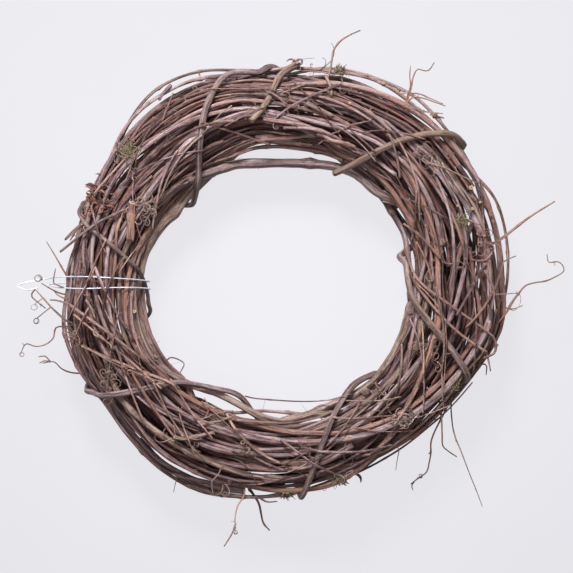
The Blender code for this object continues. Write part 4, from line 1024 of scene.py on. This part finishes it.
def spur(skin, rng, root, outward_way, thick, tone, tint):
    """The stub of a leaf stalk or side shoot that broke off at a knot."""
    length = thick * 0.8 + rng.uniform(*SPUR_LENGTHS)
    lean = rng.normal(0, 0.4, 3)
    way = outward_way + lean
    way /= np.linalg.norm(way)
    share = np.linspace(0, 1, 5)
    points = root + way * (length * share)[:, None] + lean * (0.5 * share ** 2)[:, None]
    base = rng.uniform(0.5, 0.95) * min(1.6, 0.5 * thick + 0.3)
    profile = base * np.array([1.4, 1.15, 0.9, 0.8, 0.75])
    reach = profile[:, None] * rng.uniform(0.85, 1.15, (5, 6))
    skin.tube(points, reach, share * length + rng.uniform(0, 900), np.full(5, 0.7), tone, tint,
              rng.uniform(-0.8, 0.8, 2))


# Materials


class Graph:
    """A material's nodes, made one by one."""

    def __init__(self, name):
        self.material = bpy.data.materials.new(name)
        self.material.use_nodes = True
        self.tree = self.material.node_tree
        self.shader = self.tree.nodes["Principled BSDF"]

    def node(self, kind, inputs=(), **settings):
        made = self.tree.nodes.new("ShaderNode" + kind)
        for key, value in settings.items():
            setattr(made, key, value)
        for key, value in dict(inputs).items():
            if isinstance(value, bpy.types.NodeSocket):
                self.tree.links.new(value, made.inputs[key])
            else:
                made.inputs[key].default_value = value
        return made

    def attribute(self, name):
        return self.node("Attribute", attribute_name=name)

    def math(self, operation, first, second=0.5, clamp=False):
        return self.node("Math", {0: first, 1: second}, operation=operation, use_clamp=clamp).outputs[0]

    def total(self, *terms):
        """The sum of each value times its weight, held between 0 and 1."""
        result = 0.0
        for value, weight in terms:
            result = self.node("Math", {0: value, 1: weight, 2: result}, operation="MULTIPLY_ADD").outputs[0]
        return self.math("ADD", result, 0.0, True)

    def noise(self, vector, scale, detail=3.0, roughness=0.55):
        stretched = self.node("Mapping", {"Vector": vector, "Scale": scale}).outputs[0]
        settings = {"Vector": stretched, "Scale": 1.0, "Detail": detail, "Roughness": roughness}
        return self.node("TexNoise", settings).outputs["Fac"]

    def ramp(self, value, stops):
        made = self.node("ValToRGB", {"Fac": value})
        band = made.color_ramp
        while len(band.elements) < len(stops):
            band.elements.new(0.5)
        for element, (place, colour) in zip(band.elements, stops):
            element.position = place
            element.color = (*colour, 1)
        return made.outputs["Color"]

    def mix(self, share, first, second, blend="MIX"):
        made = self.node("Mix", data_type="RGBA", blend_type=blend)
        for socket, value in ((made.inputs[0], share), (made.inputs[6], first), (made.inputs[7], second)):
            if isinstance(value, bpy.types.NodeSocket):
                self.tree.links.new(value, socket)
            else:
                socket.default_value = value if isinstance(value, float) else (*value, 1)
        return made.outputs[2]

    def finish(self, **inputs):
        for key, value in inputs.items():
            socket = self.shader.inputs[key.replace("_", " ")]
            if isinstance(value, bpy.types.NodeSocket):
                self.tree.links.new(value, socket)
            else:
                socket.default_value = value
        return self.material


def bark_material(name, dark, middle, pale, tinted):
    """Dry stringy bark: streaks and cracks along the cane, weathered patches, knots, lichen, cut ends,
    and painted shade deep in the bundle.
    """
    graph = Graph(name)
    bark = graph.attribute("bark").outputs["Vector"]
    tone, knot, cut = graph.node("SeparateXYZ", {0: graph.attribute("mark").outputs["Vector"]}).outputs
    lichen, tint, depth = graph.node("SeparateXYZ", {0: graph.attribute("stain_and_shade").outputs["Vector"]}).outputs
    streaks = graph.noise(bark, (22, 480, 480), 4.0, 0.6)
    fibres = graph.noise(bark, (170, 850, 850), 3.0, 0.7)
    patches = graph.noise(bark, (34, 90, 90), 4.0, 0.6)
    hues = graph.noise(bark, (18, 60, 60), 2.0)
    grain = graph.noise(bark, (700, 1200, 1200), 3.0, 0.7)
    seams = graph.noise(bark, (13, 400, 400), 2.0, 0.4)

    level = graph.total((streaks, 1.5), (fibres, 1.2), (patches, 1.2), (tone, 0.13), (1.0, -1.42))
    colour = graph.ramp(level, ((0.15, dark), (0.50, middle), (0.92, pale)))
    share = graph.total((tint, 0.95), (hues, 2.4), (1.0, -1.3))
    colour = graph.mix(share, colour, graph.mix(0.75, colour, tinted))
    cracked = graph.ramp(seams, ((0.39, CRACK), (0.46, CLEAR)))
    colour = graph.mix(0.85, colour, cracked, "MULTIPLY")
    at_knot = graph.total((knot, 1.0), (grain, 0.9), (1.0, -0.85))
    colour = graph.mix(at_knot, colour, tuple(0.85 * value for value in tinted))
    flecks = graph.math("MULTIPLY", graph.math("GREATER_THAN", grain, 0.64), 0.55)
    colour = graph.mix(flecks, colour, tuple(1.25 * value for value in pale))

    spread = graph.total((lichen, 1.1), (grain, 1.6), (1.0, -1.25))
    colour = graph.mix(graph.math("MULTIPLY", spread, 2.0, True), colour, LICHEN_CRUST)
    wood = graph.ramp(graph.total((fibres, 0.9), (knot, -0.6)), CUT_WOOD)
    colour = graph.mix(graph.math("GREATER_THAN", cut, 0.5), colour, wood)
    # Painted shade: bark that lies deeper in the bundle is darkened, standing in for the shade among the
    # canes
    shade = graph.ramp(depth, ((0.0, CLEAR), (0.36, DEEP_SHADE)))
    colour = graph.mix(1.0, colour, shade, "MULTIPLY")

    height = graph.total((streaks, 0.8), (fibres, 0.6), (grain, 0.15), (seams, 0.7), (1.0, -0.3))
    bump = graph.node("Bump", {"Strength": 1.0, "Distance": BARK_RELIEF, "Height": height}).outputs[0]
    rough = graph.total((patches, 0.45), (fibres, 0.25), (1.0, 0.22))
    return graph.finish(Base_Color=colour, Roughness=rough, Normal=bump, Specular_IOR_Level=0.4)


def wire_material():
    """Bright soft wire, drawn lengthwise and a little dulled by handling."""
    graph = Graph("hanger_wire")
    bark = graph.attribute("bark").outputs["Vector"]
    drawn = graph.noise(bark, (60, 3200, 3200), 2.0)
    dull = graph.noise(bark, (40, 40, 40), 3.0)
    colour = graph.ramp(dull, WIRE_METAL)
    rough = graph.math("ADD", graph.math("MULTIPLY", drawn, 0.2), 0.38)
    bump = graph.node("Bump", {"Strength": 0.2, "Distance": WIRE_RELIEF, "Height": drawn}).outputs[0]
    return graph.finish(Base_Color=colour, Metallic=0.45, Roughness=rough, Normal=bump)


# Pieces


def held_together(*groups):
    """The strands of several groups as one, for others to be pushed clear of."""
    members = [(group, k) for group in groups for k in range(group.chain[-1] + 1)]
    return Strands([group.of(k) for group, k in members],
                   [group.radius[group.chain == k][0] for group, k in members])


def thin_strands(rng, bundle, loose):
    """Thin canes and long runners, laid in and over the bundle and pushed clear of what is there."""
    laid = []
    for number in range(STRANDS):
        diameter = STRAND_DIAMETERS[number % len(STRAND_DIAMETERS)]
        turns = rng.uniform(0.1, 0.7)
        angle = rng.uniform(0, 2 * math.pi) + np.linspace(0, turns * 2 * math.pi, int(turns * 40) + 2)
        lie = rng.uniform(-0.15, 1.15) * math.pi if number % 4 else rng.uniform(0, 2 * math.pi)
        lie = lie + rng.uniform(-0.7, 0.7) * (angle - angle[0]) + 0.3 * np.sin(2 * angle + rng.uniform(0, 6))
        share = np.clip(0.84 + 0.12 * np.sin(1.7 * angle + rng.uniform(0, 6)), 0, 0.97)
        middle, half_width = section(angle / STEP)
        share = share * reach(lie)
        across = share * np.cos(lie)
        if number % 5:
            across = np.clip(across, STRAND_INNERMOST, STRAND_OUTERMOST)
        out = middle + half_width * across
        height = MIDDLE_Z + (HALF_DEPTH - 4) * share * np.sin(lie)
        points = resample(np.column_stack([out * np.cos(angle), out * np.sin(angle), height]), STRAND_SPACING)
        colour = STRAND_COLOURS[number % len(STRAND_COLOURS)]
        laid.append(laid_piece(f"strand_{number}", points, diameter / 2, colour, inward=0.3, hold=0.3,
                               tension=0.05))
    strands = Loose(laid, held_together(bundle, loose))
    strands.settle(SETTLING)
    return strands


class Surface:
    """Close points along every settled strand, to find what lies uppermost at a place."""

    def __init__(self, *groups):
        lines = [resample(strands.of(k), 4) for strands in groups for k in range(strands.chain[-1] + 1)]
        self.points = np.vstack(lines)

    def top(self, x, y, reach=9.0):
        """The uppermost centre point near a place, or else the nearest one."""
        off = np.hypot(self.points[:, 0] - x, self.points[:, 1] - y)
        near = off < reach
        if not near.any():
            return self.points[int(np.argmin(off))]
        return self.points[int(np.argmax(np.where(near, self.points[:, 2] - off, -1e9)))]


def crossing_twigs(rng):
    """Courses of short twigs that run across the canes at all sorts of slants."""
    rows = []
    for number in range(CROSSING):
        around = 2 * math.pi * (number + rng.uniform(0, 1)) / CROSSING
        middle, half_width = section(np.array([around / STEP]))
        out = middle[0] + rng.uniform(-0.75, 0.75) * half_width[0]
        length = rng.uniform(*CROSSING_LENGTHS)
        heading = around + math.pi / 2 + rng.choice((-1, 1)) * rng.uniform(*CROSSING_SLANTS)
        turning = rng.uniform(0.2, 1.3) * length / out
        share = np.linspace(-0.5, 0.5, 7)
        heading = heading + turning * share
        course = np.cumsum(np.column_stack([np.cos(heading), np.sin(heading)]), axis=0) * length / 7
        course += (out * math.cos(around), out * math.sin(around)) - course[3]
        middle, half_width = section(np.arctan2(course[:, 1], course[:, 0]) % (2 * math.pi) / STEP)
        course = course[np.abs(np.hypot(*course.T) - middle) < 0.97 * half_width]
        if len(course) > 3:
            rows.append((CROSSING_DIAMETERS[number % 7], CROSSING_COLOURS[number % 8], course))
    return rows


def lying_twigs(rng, bundle, loose, strands):
    """The litter on the front, lowered until it lies on the canes."""
    laid = []
    for number, (diameter, colour, course) in enumerate([*LYING, *crossing_twigs(rng)]):
        points = resample(above_bundle(course, TWIG_LIFT), 8)
        laid.append(laid_piece(f"twig_{number}", points, diameter / 2, colour, down=1, hold=0.8, tension=0.02,
                               spring=0.3))
    twigs = Loose(laid, held_together(bundle, loose, strands))
    twigs.settle(SETTLING)
    return twigs


def stray(rng, surface, rise, course):
    """A tendril's centre line, from the cane that it grew on out over the edge."""
    xy = np.array(course, float)
    root = surface.top(*xy[0])
    share = distances(xy) / distances(xy)[-1]
    xy = xy + (root[:2] - xy[0]) * 0.5 ** np.arange(len(xy))[:, None]
    return np.column_stack([xy, root[2] + rise * share + 1.5 * wander(rng, 10 * share + 1, 4)])


def coil(rng, surface, x, y, radius, turns):
    """A coiled tendril's centre line: a short stalk from the nearest cane, then its turns."""
    root = surface.top(x, y, radius + 3)
    centre = np.array([x, y, root[2] + (radius if math.hypot(root[0] - x, root[1] - y) < radius + 3 else 0)])
    axis = np.array([*rng.normal(0, 0.35, 2), 1.0])
    axis /= np.linalg.norm(axis)
    first = np.cross(axis, (0.3, 1, 0))
    first /= np.linalg.norm(first)
    second = np.cross(axis, first)
    begin = math.atan2((root - centre).dot(second), (root - centre).dot(first)) + 0.6
    angle = begin + rng.choice((-1, 1)) * np.linspace(0, 2 * math.pi * turns, int(14 * turns) + 2)
    share = np.linspace(0, 1, len(angle))
    size = radius * (1 - 0.35 * share)
    ring = centre + size[:, None] * (np.outer(np.cos(angle), first) + np.outer(np.sin(angle), second))
    ring = ring + np.outer(share * rng.uniform(1.5, 3.5), axis)
    return np.vstack([root, ring]) if np.linalg.norm(ring[0] - root) > 1 else ring


def flake(rng, line, radius):
    """A strip of bark that follows a cane and peels away from it at one end, as its line and widths."""
    begin = int(rng.integers(0, max(1, len(line) - 9)))
    stretch = line[begin:begin + int(rng.integers(4, 9))]
    _, side, up = frames(stretch)
    angle = rng.uniform(-0.3, 1.3) * math.pi
    spoke = math.cos(angle) * side + math.sin(angle) * up
    if spoke[0, 2] < -0.2:
        spoke = -spoke
    share = np.linspace(0, 1, len(stretch))
    if rng.uniform() < 0.5:
        share = share[::-1]
    lift = rng.uniform(*FLAKE_LIFTS) * share ** 2.5
    return stretch + spoke * (radius * 1.02 + 0.1 + lift)[:, None]


def wisp(rng, root, curl=7):
    """A loose tendril that curls up more and more tightly towards its tip."""
    length = rng.uniform(*WISP_LENGTHS)
    share = np.linspace(0, 1, int(length / TENDRIL_STEP) + 2)
    heading = rng.uniform(0, 2 * math.pi)
    hand = rng.choice((-1, 1))
    heading = heading + hand * (rng.uniform(0.3, 2.5) * share + rng.uniform(0, curl) * share ** 3)
    step = length / len(share)
    flat = np.cumsum(np.column_stack([np.cos(heading), np.sin(heading)]), axis=0) * step
    rise = rng.uniform(3, 8) * share ** 0.6 + 1.0 * wander(rng, 20 * share + 1, 6)
    return root + np.column_stack([flat, rise])


def lump(rng, top, x, y, size):
    """A knobbly swelling, as its centre line and how far its bark stands from this."""
    heading = rng.uniform(0, math.pi)
    share = np.linspace(-1, 1, 9)
    middle = np.array([x, y, top[2] + 0.5 * size])
    line = middle + np.outer(share * size * 1.2, (math.cos(heading), math.sin(heading), 0.1))
    reach = size * np.sqrt(1.02 - share ** 2)[:, None] * rng.uniform(0.7, 1.15, (9, 9))
    return line, reach


def scattered(rng, surface, row):
    """The roots of a cluster, drawn round its place in a row of x, y, reach, how many, colour."""
    x, y, reach, count, _ = row
    for _ in range(count):
        yield surface.top(x + rng.normal(0, 0.5 * reach), y + rng.normal(0, 0.5 * reach), 5)


def dress_knots(surface, barks):
    """Wisps, scraps of bark, knots and cut stubs at their places."""
    skins = {colour: Skin() for colour in ("mauve", "tan", "red", "rust")}
    rng = np.random.default_rng(KNOT_SEED)
    for row in WISPS:
        for root in scattered(rng, surface, row):
            radius = rng.uniform(*WISP_RADII)
            line = wisp(rng, root)
            tint = rng.uniform(0, 1)
            grow(skins[row[-1]], rng, line, (radius, 0.5 * radius), "tendril", tint, pointed=True)
    for row in SCRAPS:
        for number, root in enumerate(scattered(rng, surface, row)):
            line = root + 0.45 * (wisp(rng, root, 1.2) - root)
            width = rng.uniform(*SCRAP_WIDTHS) * np.sin(np.linspace(0.6, 2.8, len(line)))
            tone, tint = rng.uniform(-1, 1), rng.uniform(0, 1)
            strip(skins[row[-1]], line, width, SCRAP_THICKNESS, 9 * number, tone, tint)
    for x, y, size, colour in LUMPS:
        line, around = lump(rng, surface.top(x, y, 6), x, y, size)
        skins[colour].tube(line, around, distances(line) + size, np.full(9, 0.6), rng.uniform(-0.5, 0.5), 0.5,
                           (0, 0), True)
    for x, y, diameter, colour in STUBS:
        root = surface.top(x, y, 8)
        tip = np.array([x, y, root[2] + 4.5])
        line = tip + np.outer(np.linspace(-1, 0, 5), (*(0.3 * (tip - root)[:2] + rng.uniform(-3, 3, 2)), 7))
        around = np.full((5, 9), diameter / 2) * rng.uniform(0.88, 1.12, 9)
        skins[colour].tube(line, around, distances(line) + x, np.zeros(5), rng.uniform(-1, 0), 0.5,
                           (-0.3, -0.3))
    dress_each(skins, "{}_wisps_and_knots", barks)


def dress_litter(twigs, surface, barks):
    """Twigs that lie on the front, tendrils that stand out past the edge, and coils."""
    skins = {colour: Skin() for colour in ("mauve", "tan", "red")}
    rng = np.random.default_rng(LITTER_SEED)
    for k, piece in enumerate(twigs.laid):
        radius = piece["radius"]
        grow(skins[piece["colour"]], rng, twigs.of(k), (radius, 0.8 * radius), "twig", rng.uniform(0, 1))
    for diameter, colour, rise, course in STRAY:
        line = stray(rng, surface, rise, course)
        grow(skins[colour], rng, line, (diameter / 2, 0.3 * diameter), "twig", 0.5, pointed=True)
    for x, y, radius, turns, diameter, colour in COILS:
        line = coil(rng, surface, x, y, radius, turns)
        grow(skins[colour], rng, line, (diameter / 2, 0.25 * diameter), "tendril", 0.3, pointed=True)
    dress_each(skins, "fine_{}_twigs_and_tendrils", barks)


def dress_bark_litter(canes, bundle, barks):
    """Strips that peel off the canes, and loose fibres that stand up from them."""
    skins = {colour: Skin() for colour in ("mauve", "red")}
    rng = np.random.default_rng(PEEL_SEED)
    shown = [k for k in range(len(canes)) if bundle.of(k)[:, 2].mean() > MIDDLE_Z]
    for number in range(FLAKES):
        k = shown[int(rng.integers(len(shown)))]
        line = flake(rng, resample(bundle.of(k), 4.0), canes[k]["diameter"] / 2)
        line = resample(line, 2.5)
        width = rng.uniform(*FLAKE_WIDTHS) * np.sin(np.linspace(0.5, 2.7, len(line)))
        skin = skins["mauve" if number % 3 else "red"]
        strip(skin, line, width, FLAKE_THICKNESS, 7 * number, rng.uniform(-1, 1), 0.6)
    for number in range(FIBRES):
        k = int(rng.integers(len(canes)))
        points = bundle.of(k)
        root = points[int(rng.integers(1, len(points) - 1))]
        if root[2] < MIDDLE_Z - 10 or habit_of(canes[k]["name"], canes[k]["diameter"]) == "thin":
            continue
        way = random_way(rng, *FIBRE_RISE)
        bend = rng.normal(0, 0.5, 3)
        share = np.linspace(0, 1, 7)
        length = rng.uniform(*FIBRE_LENGTHS)
        line = root + way * (length * share)[:, None] + bend * (0.5 * length * share ** 2)[:, None]
        reach = np.full((7, 3), rng.uniform(*FIBRE_RADII)) * (1 - 0.5 * share)[:, None]
        skin = skins["red" if number % 2 else "mauve"]
        skin.tube(line, reach, distances(line) + 7 * number, np.zeros(7), rng.uniform(-1, 1), 0.8, (0, 0),
                  True)
    dress_each(skins, "peeling_{}_bark", barks)


def lichen_material():
    graph = Graph("lichen")
    bark = graph.attribute("bark").outputs["Vector"]
    specks = graph.noise(bark, (700, 700, 700), 3.0)
    tone = graph.node("SeparateXYZ", {0: graph.attribute("mark").outputs["Vector"]}).outputs[0]
    level = graph.total((specks, 1.0), (tone, 0.2))
    colour = graph.ramp(level, LICHEN_THREAD)
    return graph.finish(Base_Color=colour, Roughness=0.9, Specular_IOR_Level=0.2)


def dress_lichen(surface, material):
    """Tufts of short curly threads where the lichen is thickest."""
    skin = Skin()
    rng = np.random.default_rng(LICHEN_SEED)
    for x, y, reach in LICHEN:
        for _ in range(int(TUFT_THREADS * reach)):
            at = np.array([x, y]) + rng.normal(0, 0.36 * reach, 2)
            root = surface.top(*at, 3.5)
            if np.hypot(*(root[:2] - at)) > 5:
                continue
            way = random_way(rng, *TUFT_RISE)
            share = np.linspace(0, 1, 5)
            length = rng.uniform(*TUFT_LENGTHS)
            start = np.array([*(0.5 * at + 0.5 * root[:2]), root[2] + 1.0])
            line = start + way * (length * share)[:, None] + rng.normal(0, 1.2, 3) * (share ** 2)[:, None]
            thick = np.full((5, 4), rng.uniform(*TUFT_RADII)) * (1.1 - 0.6 * share)[:, None]
            skin.tube(line, thick, distances(line) + rng.uniform(0, 99), np.zeros(5), rng.uniform(-1, 1), 0,
                      (0, 0), True)
    piece = skin.build("lichen_tufts", material)
    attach(piece, "root")


def habit_of(name, diameter):
    if name.startswith(("thin_outer", "second_outer")):
        return "thin"
    return "thick" if diameter > 8 else "cane" if diameter > 4 else "thin"


def dress(piece, node, slot):
    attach(piece, "root")
    if node:
        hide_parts(node)


def dress_each(skins, name, barks):
    """Builds a piece of each colour, named by the name with the colour put in."""
    for colour, skin in skins.items():
        dress(skin.build(name.format(colour), barks[colour]), None, SLOTS.get(colour))


def dress_canes(canes, bundle, loose, barks):
    for k, cane in enumerate(canes):
        rng = np.random.default_rng(CANE_BARK_SEED + k)
        skin = Skin()
        radius = cane["diameter"] / 2
        habit = habit_of(cane["name"], cane["diameter"])
        grow(skin, rng, bundle.of(k), (radius, radius), habit, slant=(0.2, 0.2))
        for n, piece in enumerate(loose.laid):
            if piece["parent"] == k:
                thick = piece["radius"] / ROUND_3
                grow(skin, rng, loose.of(n), (thick, 0.5 * thick), "twig", tint=1.0, pointed=True)
        dress(skin.build(cane["name"] + "_bark", barks[cane["colour"]]), cane["name"], SLOTS[cane["colour"]])


def dress_loose(loose, barks, wire):
    for k, piece in enumerate(loose.laid):
        if piece["parent"] >= 0:
            continue
        rng = np.random.default_rng(LOOSE_BARK_SEED + k)
        skin = Skin()
        name = piece["name"]
        if name == "wire_hanger":
            points = resample(loose.of(k), 2.0)
            along = distances(points)
            reach = np.full((len(points), 8), WIRE_DIAMETER / 2)
            skin.tube(points, reach, along, np.zeros(len(along)), 0, 0, (0, 0))
            dress(skin.build("wire_hanger_strand", wire), name, "wire")
            continue
        thick = piece["radius"] if piece["colour"] == "binder" else piece["radius"] / ROUND_4
        habit = "binder" if piece["colour"] == "binder" else "twig"
        grow(skin, rng, loose.of(k), (thick, 0.85 * thick), habit, BINDER_TINTS.get(name))
        dress(skin.build(name + "_bark", barks[piece["colour"]]), name, SLOTS[piece["colour"]])


def dress_strands(strands, barks):
    """The thin strands, some to a piece."""
    skins = {colour: Skin() for colour in ("mauve", "red", "tan")}
    draws = {colour: np.random.default_rng(STRAND_BARK_SEED + len(colour)) for colour in skins}
    for k, piece in enumerate(strands.laid):
        radius, rng = piece["radius"], draws[piece["colour"]]
        grow(skins[piece["colour"]], rng, strands.of(k), (radius, 0.6 * radius), "thin", rng.uniform(0, 1))
    dress_each(skins, "thin_{}_strands", barks)


def floor():
    graph = Graph("pale_floor")
    place = graph.node("NewGeometry").outputs["Position"]
    far = graph.node("VectorMath", {0: place}, operation="LENGTH").outputs["Value"]
    glow = graph.node("MapRange", {"Value": far, **GLOW})
    patches = graph.noise(place, (3, 3, 3), 2.0)
    graph.finish(Base_Color=graph.ramp(patches, FLOOR_COLOUR), Roughness=0.9, Emission_Color=GLOW_COLOUR,
                 Emission_Strength=glow.outputs["Result"])
    bpy.ops.mesh.primitive_plane_add(size=FLOOR_SIZE, location=(0, 0, FLOOR_Z))
    ground = bpy.context.object
    ground.name = "floor"
    ground.data.materials.append(graph.material)


def lamp(name, size, power, place, colour):
    light = bpy.data.lights.new(name, "AREA")
    light.shape, light.size, light.energy, light.color = "DISK", size, power, colour
    made = bpy.data.objects.new(name, light)
    made.location = place
    made.rotation_euler = (Vector(LAMP_TARGET) - made.location).to_track_quat("-Z", "Y").to_euler()
    bpy.context.scene.collection.objects.link(made)


def studio():
    world = bpy.data.worlds.new("studio")
    world.use_nodes = True
    sky = world.node_tree.nodes["Background"]
    sky.inputs["Color"].default_value = SKY_COLOUR
    sky.inputs["Strength"].default_value = SKY_STRENGTH
    bpy.context.scene.world = world
    for row in LAMPS:
        lamp(*row)
    bpy.context.scene.view_settings.view_transform = "Standard"


def camera():
    made = bpy.data.objects.new("camera", bpy.data.cameras.new("camera"))
    made.location = (FRAME_X * MM, FRAME_Y * MM, CAMERA_HEIGHT * MM)
    made.data.sensor_width = SENSOR_WIDTH
    made.data.lens = SENSOR_WIDTH * (CAMERA_HEIGHT - FRAME_Z) / FRAME_WIDTH
    made.data.clip_end = 20
    bpy.context.scene.collection.objects.link(made)
    bpy.context.scene.camera = made


canes = ring_canes()
bundle = Bundle(canes)
bundle.settle()
loose = loose_pieces(bundle)
loose.settle()
strands = thin_strands(np.random.default_rng(STRAND_SEED), bundle, loose)
barks = {colour: bark_material(colour + "_bark", *shades) for colour, shades in BARKS.items()}
dress_canes(canes, bundle, loose, barks)
dress_loose(loose, barks, wire_material())
dress_strands(strands, barks)
twigs = lying_twigs(np.random.default_rng(TWIG_SEED), bundle, loose, strands)
surface = Surface(bundle, loose, strands, twigs)
dress_litter(twigs, surface, barks)
dress_bark_litter(canes, bundle, barks)
dress_knots(surface, barks)
dress_lichen(surface, lichen_material())
floor()
studio()
camera()
